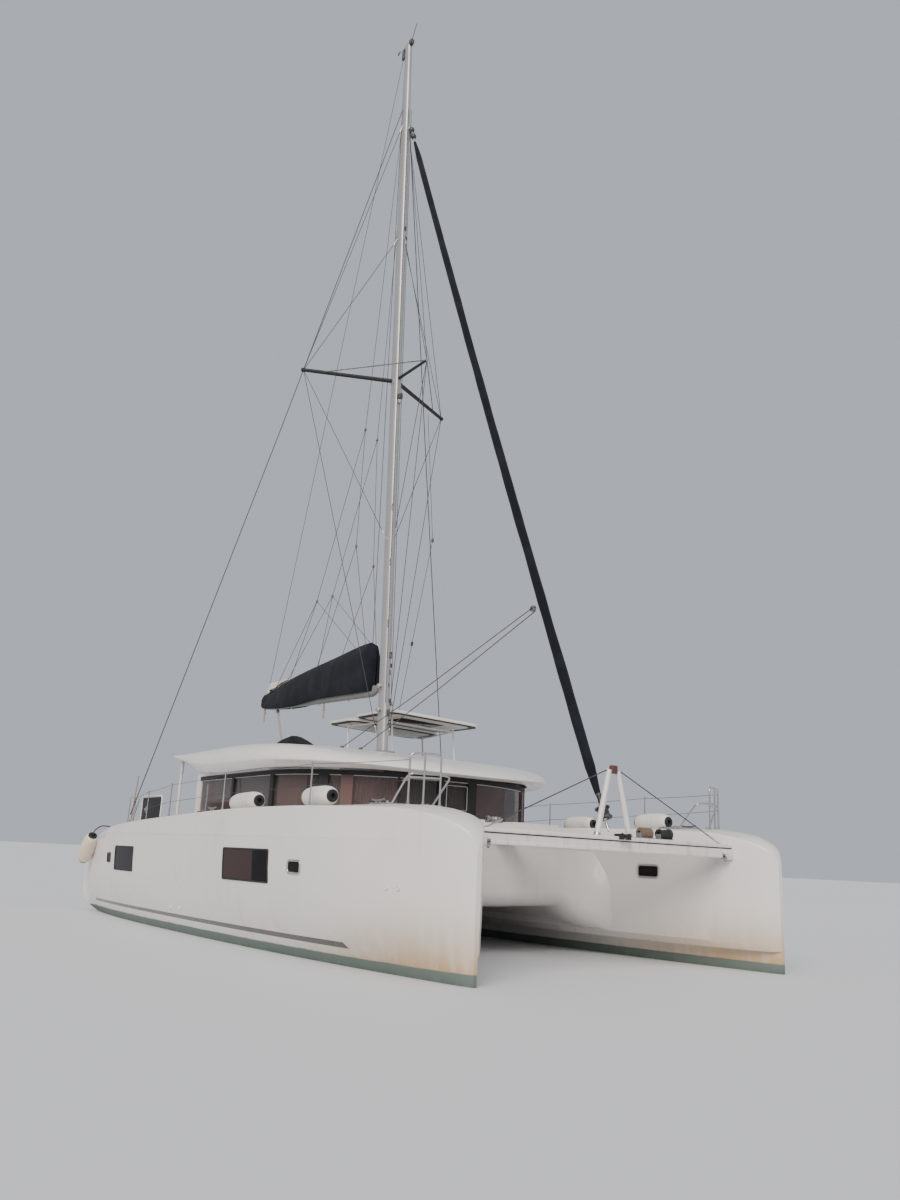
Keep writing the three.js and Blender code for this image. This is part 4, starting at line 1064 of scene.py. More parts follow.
class BuildDeck(bpy.types.Operator):
    """The bridge deck, cabin, lids, crossbeam, catwalk, striker and bow gear."""

    bl_idname = "catamaran.build_deck"
    bl_label = "Deck and cabin"

    def execute(self, context):
        dress("gelcoat", "bridgedeck", "cabin_house", "aft_bulkhead")
        dress("gelcoat", "roof_post_starboard", "roof_post_port", "helm_well")
        dress("deck", "locker_lid_starboard", "locker_lid_port", "catwalk")
        dress("glass", "window_starboard", "window_front", "window_port", "saloon_door")
        self.tunnel_front()
        self.crossbeam()
        self.striker()
        self.hatches()
        self.anchor_gear()
        return {"FINISHED"}

    def tunnel_front(self):
        """The rounded front of the deck between the hulls, fuller in the middle and faired into both hulls."""
        profile = [
            (3.304, 1.64), (3.318, 1.45), (3.33, 1.25), (3.335, 1.08), (3.335, 0.97), (3.33, 0.9),
            (3.28, 0.815), (3.18, 0.745), (3.0, 0.722), (2.75, 0.735), (2.5, 0.79),
        ]
        shares = (0.15, 0.5, 0.8, 0.95, 1.0, 1.0, 1.0, 1.0, 0.6, 0.1, 0)
        half = [(y, 0) for y in spread(0, 1.15, 12)]
        half += [(1.15 + 0.75 * math.sin(turn), 1 - math.cos(turn)) for turn in spread(0, math.pi / 2, 14)[1:]]
        rings = []
        for y, corner in [(-y, corner) for y, corner in half[:0:-1]] + half:
            lift = -0.32 * (1 - limited((1.88 - abs(y)) / 0.56) ** 1.4)
            pod = 0.5 + 0.5 * math.cos(math.pi * min(1, abs(y) / 0.9))
            ring = []
            for (x, z), share in zip(profile, shares):
                low = limited((1.1 - z) / 0.25)
                x += 0.6 * corner * share + 0.045 * pod * min(1, share * 1.2) * (z > 0.8)
                z += low * lift - 0.02 * low * pod * (x > 2.6)
                ring.append((x, y + math.copysign(corner * max(0, x - 3.3) * 0.14, y), z))
            rings.append(ring + [(2.5, y, 0.86), (3.24, y, 1.0), (3.24, y, 1.63)])
        simple("bridgedeck_front", "gelcoat", skin, rings)

    def crossbeam(self):
        beam = Piece()
        section = outline(5.685, 5.815, 1.62, 1.79, 0.028)
        skin(beam["beam"], [[(x, y, z) for x, z in section] for y in spread(-2.5, 2.5, 24)])
        block(beam["beam"], (5.668, -2.46, 1.757), (5.838, 2.46, 1.812), 0.014, 3)
        block(beam["gasket"], (5.806, -2.46, 1.742), (5.82, 2.46, 1.762), 0.002, 1)
        block(beam["beam"], (5.8, -2.46, 1.605), (5.832, 2.46, 1.655), 0.012, 3)
        for y in (-2.38, 2.38):
            block(beam["beam"], (5.655, y - 0.09, 1.58), (5.85, y + 0.09, 1.74), 0.02)
            eye = Vector((5.82, y * 0.955, 1.64))
            block(beam["zinc"], (-0.02, -0.05, -0.05), (0.012, 0.05, 0.03), 0.006, base=eye)
            turns = spread(0, 12 * 0.5236, 12)
            ring = [beside(eye, 0.02 + 0.028 * math.cos(a), 0, -0.045 + 0.035 * math.sin(a)) for a in turns]
            pipe(beam["zinc"], ring, 0.008, 8)
        for y in spread(-2.2, 2.2, 45):
            if abs(y) > 0.2:
                button = [(0, 0.006), (0.016, 0.006), (0.02, 0.003), (0.021, 0.0)]
                turned(beam["steel"], button, (5.686, y, 1.7), (-1, 0, 0), 8)
        beam.finish("forward_beam", slot="aluminium", replaces=["crossbeam"])

    def striker(self):
        piece = Piece()
        apex = Vector((5.75, 0, 2.73))
        for side in (-1, 1):
            foot, top = Vector((5.75, side * 0.32, 1.79)), beside(apex, 0, side * 0.085)
            pipe(piece["gelcoat"], [foot, beside(top, z=-0.01)], 0.043, 20, 0.038)
            turned(piece["alloy"], [(0, 0.07), (0.012, 0.07), (0.02, 0.05), (0.06, 0.047)], foot, top - foot)
        block(piece["red"], (5.712, -0.058, 2.675), (5.788, 0.058, 2.79), 0.02, 3)
        pin = [(-0.14, 0.008), (-0.135, 0.013), (0.135, 0.013), (0.14, 0.008)]
        turned(piece["steel"], pin, (5.75, 0, 2.72), ACROSS, 12)
        piece.finish("striker_frame", slot="gelcoat", replaces=["gull_striker"])
        for name, side in SIDES.items():
            stay = Piece()
            start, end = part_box("striker_stay_" + name)
            a = Vector((5.75, side * 0.125, 2.72))
            b = Vector((5.75, side * max(abs(start.y), abs(end.y)), start.z))
            pipe(stay["wire"], [a, b], 0.008, 10)
            screw = [(0, 0.012), (0.12, 0.016), (0.16, 0.011), (0.26, 0.011), (0.3, 0.02)]
            turned(stay["steel"], screw, b + (a - b).normalized() * 0.34, b - a, 12)
            stay.finish("striker_wire_" + name, slot="steel", replaces=["striker_stay_" + name])

    def hatches(self):
        for name, side in SIDES.items():
            piece = Piece()
            for x, out, size in ((2.0, 0.0, 0.52), (-0.9, 0.25, 0.44), (4.45, 0.0, 0.5)):
                y, z = side * (HULL_Y + out), deck_at(x) - 0.004
                for finish, half, corner, low, high, edge in (
                    ("alloy", size / 2, 0.06, z, z + 0.026, 0.006),
                    ("pane", size * 0.42, 0.05, z + 0.02, z + 0.034, 0.004),
                ):
                    slab(piece[finish], outline(x - half, x + half, y - half, y + half, corner), low, high, edge)
            piece.finish("deck_hatches_" + name, slot="glass")
            cleats = Piece()
            for x, out in ((4.45, 0.24), (0.15, 0.77), (-5.0, 0.7)):
                base = Vector((x, side * (HULL_Y + out), deck_at(x)))
                block(cleats["zinc"], (-0.07, -0.02, -0.006), (0.07, 0.02, 0.01), 0.005, base=base)
                for dx in (-0.045, 0.045):
                    turned(cleats["zinc"], [(0, 0.014), (0.02, 0.011), (0.055, 0.011)], beside(base, dx), UP, 12)
                shape = ((-0.15, 0.068), (-0.07, 0.055), (0.07, 0.055), (0.15, 0.068))
                horns = [beside(base, dx, 0, dz) for dx, dz in shape]
                pipe(cleats["zinc"], flowing(horns, 3), 0.012, 10)
            cleats.finish("cleats_" + name, slot="steel")

    def anchor_gear(self):
        piece = Piece()
        for y in (0.03, 0.17):
            block(piece["gasket"], (5.74, y - 0.006, 1.77), (5.93, y + 0.006, 1.85), 0.005)
        wheel = [(-0.065, 0.045), (-0.02, 0.03), (0.02, 0.03), (0.065, 0.045)]
        turned(piece["gasket"], wheel, (5.89, 0.1, 1.815), ACROSS, 20)
        lower = Piece()
        block(lower["zinc"], (2.92, -0.1, 1.98), (3.17, 0.1, 2.03), 0.015)
        barrel = [
            (0, 0.02), (0.005, 0.045), (0.04, 0.05), (0.06, 0.03), (0.1, 0.03), (0.12, 0.045), (0.15, 0.03),
            (0.17, 0.045), (0.27, 0.04), (0.28, 0.02),
        ]
        turned(lower["zinc"], barrel, (3.05, -0.14, 2.06), ACROSS, 24)
        for y in (-0.05, 0.1):
            block(lower["zinc"], (3.0, y - 0.015, 2.0), (3.1, y + 0.015, 2.09), 0.01)
        lower.finish("anchor_windlass", slot="steel", replaces=["windlass"])
        for y, far in ((0.5, 0.26), (0.9, 0.27)):
            block(piece["zinc"], (5.69, y - 0.02, 1.8), (5.81, y + far, 1.825), 0.006)
            for end in (y, y + far - 0.02):
                block(piece["zinc"], (5.7, end, 1.81), (5.8, end + 0.012, 1.89), 0.005)
        turns = [(0.0, 0.03)] + [(0.01 + i * 0.011, 0.072 + 0.007 * (i % 2)) for i in range(20)] + [(0.23, 0.03)]
        turned(piece["brown_rope"], turns, (5.75, 0.51, 1.885), ACROSS, 24)
        drum = [
            (0, 0.03), (0, 0.072), (0.02, 0.078), (0.03, 0.06), (0.2, 0.068), (0.21, 0.08), (0.235, 0.076),
            (0.235, 0.05), (0.2, 0.045), (0.2, 0),
        ]
        turned(piece["gasket"], drum, (5.75, 0.91, 1.885), (0, 1, 0.04), 24)
        piece.finish("bow_roller", slot="aluminium")


NET_Z = 1.708


class BuildTrampolines(bpy.types.Operator):
    """Nets between the hulls, laced to the beam."""

    bl_idname = "catamaran.build_trampolines"
    bl_label = "Nets"

    def execute(self, context):
        for name, side in SIDES.items():
            low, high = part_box("trampoline_" + name)
            near, far = sorted((abs(low.y), abs(high.y)))
            net, rows = Piece(), []
            for x in spread(low.x + 0.03, high.x - 0.03, 24):
                along_it = math.pi * len(rows) / 24
                ys = enumerate(spread(near + 0.02, far - 0.02, 12))
                sag = 0.05 * math.sin(along_it)
                rows.append([(x, side * y, NET_Z - sag * math.sin(math.pi * j / 12)) for j, y in ys])
            skin(net["net"], rows, closed=False)
            sheet = net.finish("net_" + name, slot="net", replaces=["trampoline_" + name])
            edge = Piece()
            plan = outline(low.x + 0.03, high.x - 0.03, near + 0.02, far - 0.02, 0.03, 2)
            pipe(edge["webbing"], [(x, side * y, NET_Z) for x, y in closed_path(plan)], 0.011, 6)
            z = NET_Z - 0.002
            for y in spread(near + 0.05, far - 0.05, 33):
                ends = [(high.x - 0.035, side * y, z), (high.x + 0.004, side * (y + 0.03), z + 0.002)]
                pipe(edge["white_rope"], ends, 0.004, 5)
                ends = [(low.x - 0.004, side * (y + 0.03), z), (low.x + 0.035, side * y, z)]
                pipe(edge["white_rope"], ends, 0.004, 5)
            edge.finish("net_edging_" + name, slot="net")
        return {"FINISHED"}


# ---------------------------------------------------------------- rig


def mast_at(z):
    return MAST_FOOT.lerp(MAST_HEAD, (z - MAST_FOOT.z) / (MAST_HEAD.z - MAST_FOOT.z))


def strut_tip():
    return beside(mast_at(STRUT_Z), STRUT_LENGTH)


def spreader_ends(side):
    root = beside(mast_at(SPREADER_TIP.z), -0.02, side * 0.07)
    return root, Vector((SPREADER_TIP.x, side * SPREADER_TIP.y, SPREADER_TIP.z))


# height on the mast and half height of each clutch and block in front of it
MAST_CLUTCHES = (
    (3.85, 0.05), (4.1, 0.07), (4.35, 0.04), (4.6, 0.09), (4.9, 0.05), (5.05, 0.04), (5.25, 0.07), (15.0, 0.05),
    (15.25, 0.05),
)


class BuildMast(bpy.types.Operator):
    """Mast, spreaders, strut, masthead gear and the fittings on the mast."""

    bl_idname = "catamaran.build_mast"
    bl_label = "Mast"

    def execute(self, context):
        mast = Piece()
        rings = []
        for z in [3.22, 3.4] + [4 + i for i in range(17)] + [MAST_HEAD.z]:
            taper = max(0, (z - 16.5) / 4.15)
            deep, wide = 0.135 - 0.04 * taper, 0.085 - 0.023 * taper
            centre = mast_at(z)
            parts = [squared(math.tau * i / 32, (0.8, 0.75)) for i in range(32)]
            rings.append([(centre.x + deep * dx, wide * dy, z) for dx, dy in parts])
        skin(mast["spar"], rings)
        for y in (-0.014, 0.014):
            pipe(mast["black"], [beside(mast_at(3.9), -0.138, y), beside(mast_at(20.5), -0.1, y)], 0.007, 6)
        block(mast["alloy"], (-0.72, -0.17, 3.3), (-0.28, 0.17, 3.36), 0.015)
        block(mast["alloy"], (-0.19, -0.045, -0.05), (0.13, 0.045, -0.008), 0.012, base=MAST_HEAD)
        for dx in (-0.15, 0.09):
            wheel = [(-0.035, 0.045), (-0.012, 0.036), (0.012, 0.036), (0.035, 0.045)]
            turned(mast["black"], wheel, beside(MAST_HEAD, dx, 0, -0.06), ACROSS, 16)
        mast.finish("mast_tube", slot="aluminium", replaces=["mast"])
        self.spreaders()
        self.fittings()
        self.masthead()
        return {"FINISHED"}

    def spreaders(self):
        for name, side in SIDES.items():
            piece = Piece()
            root, tip = spreader_ends(side)
            pipe(piece["gasket"], [root.lerp(tip, i / 8) for i in range(9)], 0.046, 16, 0.038)
            block(piece["spar"], (-0.07, -0.03, -0.06), (0.07, 0.03, 0.06), 0.015, base=root)
            boot = [(-0.03, 0.0), (-0.025, 0.042), (0.03, 0.046), (0.05, 0.03), (0.055, 0)]
            turned(piece["gasket"], boot, tip, tip - root, 16)
            piece.finish("spreader_bar_" + name, slot="black", replaces=["spreader_" + name])
        strut = Piece()
        root, tip = beside(mast_at(STRUT_Z), 0.1), strut_tip()
        pipe(strut["gasket"], [root, between(root, tip, 0.5), tip], 0.034, 14, 0.028)
        turned(strut["alloy"], [(-0.02, 0.0), (-0.015, 0.028), (0.02, 0.028), (0.025, 0)], tip, tip - root, 12)
        strut.finish("strut_bar", slot="black", replaces=["forward_strut"])

    def fittings(self):
        piece = Piece()
        front = beside(mast_at(10.95), 0.13)
        block(piece["black"], (-0.02, -0.045, -0.06), (0.11, 0.045, 0.07), 0.02, 3, base=front)
        lamp = [(0, 0.03), (0.02, 0.038), (0.07, 0.038), (0.09, 0.02), (0.095, 0)]
        turned(piece["white_lens"], lamp, beside(front, 0.045, 0, -0.14), UP, 16)
        winch = [
            (0, 0.055), (0.02, 0.055), (0.03, 0.038), (0.08, 0.034), (0.1, 0.045), (0.115, 0.045), (0.12, 0.03),
            (0.122, 0),
        ]
        for z, side in ((4.15, -1), (4.3, 1), (4.62, -1)):
            turned(piece["zinc"], winch, beside(mast_at(z), 0, side * 0.08), (0.6, side, 0), 20)
        for z, tall in MAST_CLUTCHES:
            base = beside(mast_at(z), 0.125, 0.03 + 0.03 * math.sin(z * 9))
            high = (0.025 + 0.02 * math.sin(z * 5), 0.022, tall)
            block(piece["black"], (-0.02, -0.022, -tall), high, 0.01, base=base)
        for z in (5.9, 7.2, 8.4):
            base = beside(mast_at(z), 0.13, -0.06)
            pipe(piece["steel"], [beside(base, z=-0.08), beside(base, 0.02, -0.02), beside(base, z=0.08)], 0.006, 8)
        piece.finish("mast_fittings", slot="black")

    def masthead(self):
        piece = Piece()
        lamp = [(0, 0.04), (0.02, 0.045), (0.06, 0.045), (0.08, 0.03), (0.085, 0)]
        turned(piece["white_lens"], lamp, beside(MAST_HEAD, -0.03, 0.03, -0.01), UP, 16)
        arm = beside(MAST_HEAD, 0.1, 0, -0.02)
        pipe(piece["black"], flowing([arm, beside(arm, 0.06, 0, 0.12), beside(arm, 0.22, 0, 0.42)], 4), 0.009, 8)
        block(piece["black"], (0.06, -0.05, -0.07), (0.18, 0.05, 0.05), 0.015, base=MAST_HEAD)
        block(piece["black"], (-0.26, -0.03, -0.3), (-0.15, 0.03, -0.05), 0.02, base=MAST_HEAD)
        pipe(piece["black"], [beside(MAST_HEAD, -0.1, 0, -0.02), beside(MAST_HEAD, -0.42, 0, 0.07)], 0.006, 8)
        block(piece["black"], (-0.5, -0.006, 0.03), (-0.4, 0.006, 0.11), 0.003, base=MAST_HEAD)
        piece.finish("masthead_gear", slot="black")


class BuildStandingRigging(bpy.types.Operator):
    """Cap shrouds, diamond stays and their turnbuckles."""

    bl_idname = "catamaran.build_standing_rigging"
    bl_label = "Standing rigging"

    def truss(self, name, tip, at_mast, at_foot):
        """The wires that hold one arm of the mast's truss, above and below it."""
        piece = Piece()
        for z, off in ((18.2, at_mast), (15.03, at_mast), (7.7, at_mast), (3.62, at_foot)):
            end = beside(mast_at(z), *off)
            line(piece["wire"], tip, end, bpy.context.scene.catamaran_rig.diamond)
            turned(piece["steel"], [(0, 0.008), (0.04, 0.012), (0.2, 0.012), (0.24, 0.006)], end, tip - end, 10)
        piece.finish(name, slot="steel")

    def execute(self, context):
        braces = Piece()
        for name, side in SIDES.items():
            wire = Piece()
            top = beside(mast_at(18.65), -0.02, side * 0.09)
            foot = Vector((-3.5, side * 3.74, 1.7))
            pipe(
                wire["wire"], [beside(foot, z=0.25), between(foot, top, 0.5), top],
                context.scene.catamaran_rig.shroud, 8,
            )
            way = (top - foot).normalized()
            screw = [(0, 0.013), (0.05, 0.017), (0.12, 0.02), (0.2, 0.02), (0.3, 0.014), (0.46, 0.009)]
            turned(wire["steel"], screw, foot + way * 0.12, way, 12)
            block(wire["steel"], (-0.02, -0.006, -0.06), (0.02, 0.006, 0.16), 0.004, base=foot)
            wire.finish("cap_shroud_" + name, slot="steel", replaces=["shroud_" + name])
            root, tip = spreader_ends(side)
            self.truss("diamond_stay_" + name, tip, (0, side * 0.08, 0), (0, side * 0.12, 0))
            line(braces["black"], strut_tip(), root.lerp(tip, 0.8), 0.011, 8)
        self.truss("forward_stays", strut_tip(), (0.13, 0, 0), (0.16, 0, 0))
        braces.finish("spreader_braces", slot="black")
        return {"FINISHED"}


class BuildBoom(bpy.types.Operator):
    """Boom, sail bag and the stowed sail."""

    bl_idname = "catamaran.build_boom"
    bl_label = "Boom and bag"

    def execute(self, context):
        boom = Piece()
        rows = [
            (0.0, 0.045, 0.04), (0.012, 0.07, 0.05), (0.05, 0.13, 0.085), (0.9, 0.125, 0.08), (0.985, 0.085, 0.065),
            (1.0, 0.08, 0.06),
        ]
        rings = []
        for share in [0, 0.012, 0.03, 0.05] + [0.1 + 0.1 * i for i in range(9)] + [0.95, 0.985, 1]:
            tall, wide = along(rows, share)
            centre = between(BOOM_FRONT, BOOM_AFT, share)
            parts = [squared(math.tau * i / 24, (0.6, 0.6)) for i in range(24)]
            rings.append([(centre.x, wide * dy, centre.z + tall * dz) for dy, dz in parts])
        # The boom's finish is the darkened spar colour: painted shade.
        skin(boom["boom"], rings)
        for x in (-4.6, -3.2, -1.9):
            centre = between(BOOM_FRONT, BOOM_AFT, (BOOM_FRONT.x - x) / (BOOM_FRONT.x - BOOM_AFT.x))
            bail = ((-0.05, -0.12), (-0.03, -0.155), (0.03, -0.155), (0.05, -0.12))
            pipe(boom["steel"], flowing([beside(centre, dx, 0, dz) for dx, dz in bail], 3), 0.007)
        boom.finish("boom_tube", "boom", "aluminium", ["boom"])
        self.bag()
        self.sail()
        return {"FINISHED"}

    def bag(self):
        side = [
            (0.62, 0.0), (0.8, 0.06), (0.98, 0.2), (1.0, 0.36), (0.92, 0.55), (0.74, 0.74), (0.48, 0.88), (0.2, 0.965),
            (0.06, 1.0),
        ]
        columns = []
        for x in spread(BAG_SECTIONS[0][0], BAG_SECTIONS[-1][0], 64):
            low, high, half = along(BAG_SECTIONS, x)
            hem = low - 0.06 * limited((-3.2 - x) / 0.9)
            column = []
            for w, h in [(-w, h) for w, h in side] + side[::-1]:
                place = Vector((x, half * w, hem + (high - hem) * h))
                crease = noise.noise(Vector((x * 1.1, w * 2.2, h * 3.5))) * 0.03
                crease += noise.noise(Vector((x * 4, w * 3, h * 7))) * 0.011
                hang = 0.012 * math.sin(x * 9 + h * 3) * math.sin(math.pi * h)
                place.y += math.copysign(crease + hang, w) * min(1, h * 4) * (1 - h * 0.4)
                column.append(place)
            columns.append(column)
        for step in (0.5, 0.92):
            columns.append([Vector((p.x + 0.02 * step, p.y * (1 - step), p.z)) for p in column])
        bag = Piece()
        skin(bag["canvas"], columns, closed=False)
        sheet = bag.finish("mainsail_bag", "boom", "canvas", ["sail_bag"], sharp=80)
        top = [(x, 0, along(BAG_SECTIONS, x)[1] + 0.004) for x in [-5.9 + 0.25 * i for i in range(20)]]
        simple("bag_trim", "gasket", pipe, top, 0.009, 6, body="boom", slot="black")

    def sail(self):
        columns = []
        for t in spread(0, 1, 18):
            base = Vector((-5.86 + 0.98 * t, 0, 5.06 + 0.19 * t))
            crest = 0.03 + 0.22 * (1 - t) ** 0.8 * min(1, 0.25 + t * 6)
            column = []
            for a in spread(0, math.pi, 12):
                wide = (0.03 + 0.035 * min(1, t * 5)) * (1.15 - math.sin(a) * 0.7)
                crumple = noise.noise(Vector((t * 7, math.cos(a) * 1.5, 3))) * 0.03
                back = crumple * 1.5 - 0.1 * (1 - t) * math.sin(a)
                column.append(beside(base, back, wide * math.cos(a) + crumple, (crest + crumple) * math.sin(a)))
            columns.append(column)
        fold = Piece()
        skin(fold["sailcloth"], columns, closed=False)
        sheet = fold.finish("stowed_sail_head", "boom", "canvas", sharp=80)


DRUM_PARTS = [
    ("black", [(0.19, 0.02), (0.19, 0.108), (0.2, 0.112), (0.212, 0.108), (0.216, 0.055)], 28),
    ("black", [
        (0.329, 0.055), (0.333, 0.108), (0.343, 0.112), (0.352, 0.108), (0.356, 0.036), (0.5, 0.032), (0.56, 0.045),
        (0.57, 0.02),
    ], 28),
    ("black_rope", [
        (0.218, 0.05), (0.22, 0.078), (0.24, 0.084), (0.26, 0.079), (0.28, 0.085), (0.3, 0.08), (0.325, 0.082),
        (0.327, 0.05),
    ], 24),
]


class BuildHeadsail(bpy.types.Operator):
    """The furled headsail on its drum."""

    bl_idname = "catamaran.build_headsail"
    bl_label = "Headsail"

    def execute(self, context):
        way = STAY_HEAD - STAY_FOOT
        length = way.length
        way.normalize()
        out = way.cross(Vector(ACROSS)).normalized()
        out = out if out.z > 0 else -out
        across = way.cross(out)
        sag = context.scene.catamaran_rig.stay_sag * 4

        def stay_at(s):
            return STAY_FOOT + way * s - out * sag * (s / length) * (1 - s / length)

        rolls, count = [], 150
        for i, s in enumerate(spread(0.56, length - 0.59, count)):
            full = min(1, (s - 0.5) / 0.5) * min(1, (length - s - 0.45) / 0.8)
            radius = (0.035 + 0.045 * full - 0.012 * i / count) * (1 + 0.09 * noise.noise(Vector((s * 1.3, 0, 0))))
            ring = []
            for share in spread(0, 1, 20):
                a = s * 0.55 + math.tau * 1.12 * share
                ripple = 1 + 0.06 * noise.noise(Vector((s * 2.2, math.cos(a) * 0.8, math.sin(a) * 0.8)))
                r = radius * (0.93 + 0.09 * share) * ripple
                ring.append(stay_at(s) + out * math.cos(a) * r + across * math.sin(a) * r)
            rolls.append(ring)
        sail = Piece()
        skin(sail["canvas"], rolls, closed=False)
        sheet = sail.finish("rolled_headsail", "furler", "canvas", ["furled_headsail"], sharp=70)
        core = Piece()
        pipe(core["alloy"], [stay_at(s) for s in spread(0.3, length - 0.01, 24)], 0.018, 12)
        for back in (0.36, 0.1):
            turns = spread(0, math.pi, 8)
            ball = [(length - back + 0.075 * math.cos(a), 0.02 + 0.048 * math.sin(a)) for a in turns]
            turned(core["black"], ball, STAY_FOOT, way, 18)
        core.finish("headsail_foil", "furler", "aluminium")
        drum = Piece()
        for material, profile, sides in DRUM_PARTS:
            turned(drum[material], profile, STAY_FOOT, way, sides)
        drum.finish("furler_drum_body", "furler", "black", ["furler_drum"])
        screw = [(0, 0.012), (0.06, 0.02), (0.16, 0.02), (0.185, 0.03)]
        simple("stay_turnbuckle", "steel", turned, screw, STAY_FOOT, way, 16, slot="steel")
        return {"FINISHED"}


# ---------------------------------------------------------------- rails


PULPIT_LEGS = [(5.11, 3.03), (5.19, 2.85), (5.26, 2.64)]
SEAT_TUBE = [(4.78, 3.13, 1.96), (5.09, 3.022, 2.45), (5.236, 2.632, 2.45), (5.18, 2.42, 2.44), (4.7, 2.45, 1.96)]
STANCHIONS = [(3.15, 3.4), (0.42, 3.54), (-1.95, 3.55), (-3.56, 3.4)]


class BuildRails(bpy.types.Operator):
    """Bow pulpits, stanchions, lifelines and the stern rails."""

    bl_idname = "catamaran.build_rails"
    bl_label = "Rails"

    def execute(self, context):
        gear = context.scene.catamaran_gear
        for name, side in SIDES.items():
            self.pulpit(name, side, gear)
            self.lifelines(name, side, gear)
            if name == "starboard":
                self.stern_panel()
        return {"FINISHED"}

    def pulpit(self, name, side, gear):
        piece = Piece()
        outer, middle, inner = [(x, side * y) for x, y in PULPIT_LEGS]
        feet = [(x, y, deck_at(x) - 0.01) for x, y in (outer, middle, inner)]
        hoop = [feet[0], (*outer, 2.71), (*inner, 2.71), feet[2]]
        seat = [(x, side * y, z) for x, y, z in SEAT_TUBE]
        pipe(piece["steel"], bent(hoop, 0.08, 6), gear.rail, 12)
        pipe(piece["steel"], [feet[1], (*middle, 2.71)], gear.rail, 12)
        pipe(piece["steel"], [(*outer, 2.4), (*middle, 2.4), (*inner, 2.4)], gear.rail, 10)
        pipe(piece["steel"], bent(seat, 0.08, 6), gear.rail, 12)
        for foot in feet + [(x, y, deck_at(x) - 0.01) for x, y, z in (seat[0], seat[-1])]:
            flange = [(0, 0.034), (0.008, 0.034), (0.012, 0.026), (0.02, 0.018), (0.05, 0.017)]
            turned(piece["steel"], flange, foot, UP, 16)
        piece.finish("bow_pulpit_" + name, slot="steel", replaces=["pulpit_" + name])

    def lifelines(self, name, side, gear):
        piece = Piece()
        flange = [(0, 0.036), (0.01, 0.036), (0.014, 0.02), (0.07, 0.018)]
        tops = []
        for x, y in STANCHIONS:
            foot = Vector((x, side * y, deck_at(x) - 0.012))
            top = beside(foot, z=0.615)
            pipe(piece["steel"], [foot, top], gear.stanchion, 12, gear.stanchion * 0.9)
            knob = [(-0.012, 0.0), (-0.004, 0.013), (0.006, 0.013), (0.014, 0.006), (0.016, 0)]
            turned(piece["steel"], knob, top, UP, 10)
            turned(piece["steel"], flange, foot, UP, 16)
            tops.append(top)
        outer = (PULPIT_LEGS[0][0], side * PULPIT_LEGS[0][1])
        for drop, z in ((0.02, 2.62), (0.32, 2.36)):
            points = [Vector((*outer, z))] + [beside(top, z=-drop) for top in tops]
            path = [points[0]]
            for a, b in zip(points, points[1:]):
                span = (b - a).length
                path += [beside(a.lerp(b, t), z=-0.016 * span * t * (1 - t)) for t in (0.25, 0.5, 0.75, 1)]
            pipe(piece["wire"], path, gear.lifeline, 6)
            screw = [(0, 0.006), (0.02, 0.009), (0.1, 0.009), (0.12, 0.005)]
            turned(piece["steel"], screw, points[0], points[1] - points[0], 10)
        post, aft, y, out, last = -4.48, -4.86, side * 3.33, side * 3.345, tops[-1]
        feet = [(post, out, deck_at(post) - 0.01), (aft, y, deck_at(aft) - 0.01)]
        corner = (post, out, 2.3)
        pipe(piece["steel"], bent([feet[0], corner, beside(last, -0.06, 0, -0.02)], 0.08, 6), gear.stanchion, 12)
        pipe(piece["steel"], bent([corner, (aft, y, 2.36), feet[1]], 0.1, 6), gear.stanchion, 12)
        pipe(piece["steel"], [(post, out, 2.02), (aft, y, 1.98)], gear.stanchion * 0.9, 10)
        for foot in feet:
            turned(piece["steel"], flange, foot, UP, 16)
        piece.finish("lifelines_" + name, slot="steel", replaces=["guardrail_" + name])

    def stern_panel(self):
        """The dark board in its pale hoop, inside the stern rail, and the slim pole beside it."""
        piece = Piece()
        y, foot = -3.29, deck_at(-4.1) - 0.01
        hoop = [(-4.2, y, foot), (-4.2, y, 2.34), (-3.1, y, 2.34), (-3.1, y, foot)]
        pipe(piece["gelcoat"], bent(hoop, 0.1, 6), 0.016, 12)
        block(piece["gasket"], (-4.175, y - 0.009, foot + 0.05), (-3.125, y + 0.009, 2.315), 0.008)
        boss = [(0, 0.07), (0.014, 0.07), (0.022, 0.05), (0.03, 0.03), (0.05, 0.026), (0.052, 0)]
        turned(piece["zinc"], boss, (-3.87, y - 0.008, 2.08), (0, -1, 0), 20)
        pole = [(-4.56, -3.375, 1.74), (-4.47, -3.375, 2.25), (-4.38, -3.375, 2.75)]
        pipe(piece["wood"], pole, 0.013, 10, 0.009)
        piece.finish("stern_panel", slot="black")


# ---------------------------------------------------------------- loose gear

FENDERS = {
    "starboard_aft": (0.815, -3.3, 0.95), "starboard_fore": (3.03, -3.18, 0.78),
    "port_aft": (1.57, 3.3, 0.76), "port_fore": (3.53, 3.2, 0.76),
}


def fender(piece, middle, way, length, radius, finish="vinyl"):
    """A blow-up fender with black ends, their eyes facing out."""
    h = length / 2
    end = min(0.26, h * 0.62)
    body = [(-h + 0.05, radius * 0.5), (-h + 0.03, radius * 0.56)]
    for a in spread(0, math.pi / 2, 8)[1:]:
        body.append((-h + 0.035 + end * (1 - math.cos(a)), radius * (0.6 + 0.4 * math.sin(a) ** 0.8)))
    body += [(0, radius * 1.01)] + [(-far, size) for far, size in reversed(body)]
    turned(piece[finish], body, middle, way, 36)
    rim = ((0.06, 0.5), (0.034, 0.6), (0.012, 0.6), (0, 0.53), (0, 0.24), (0.05, 0.2), (0.05, 0))
    for sign in (-1, 1):
        turned(piece["gasket"], [(sign * (h - back), radius * size) for back, size in rim], middle, way, 28)


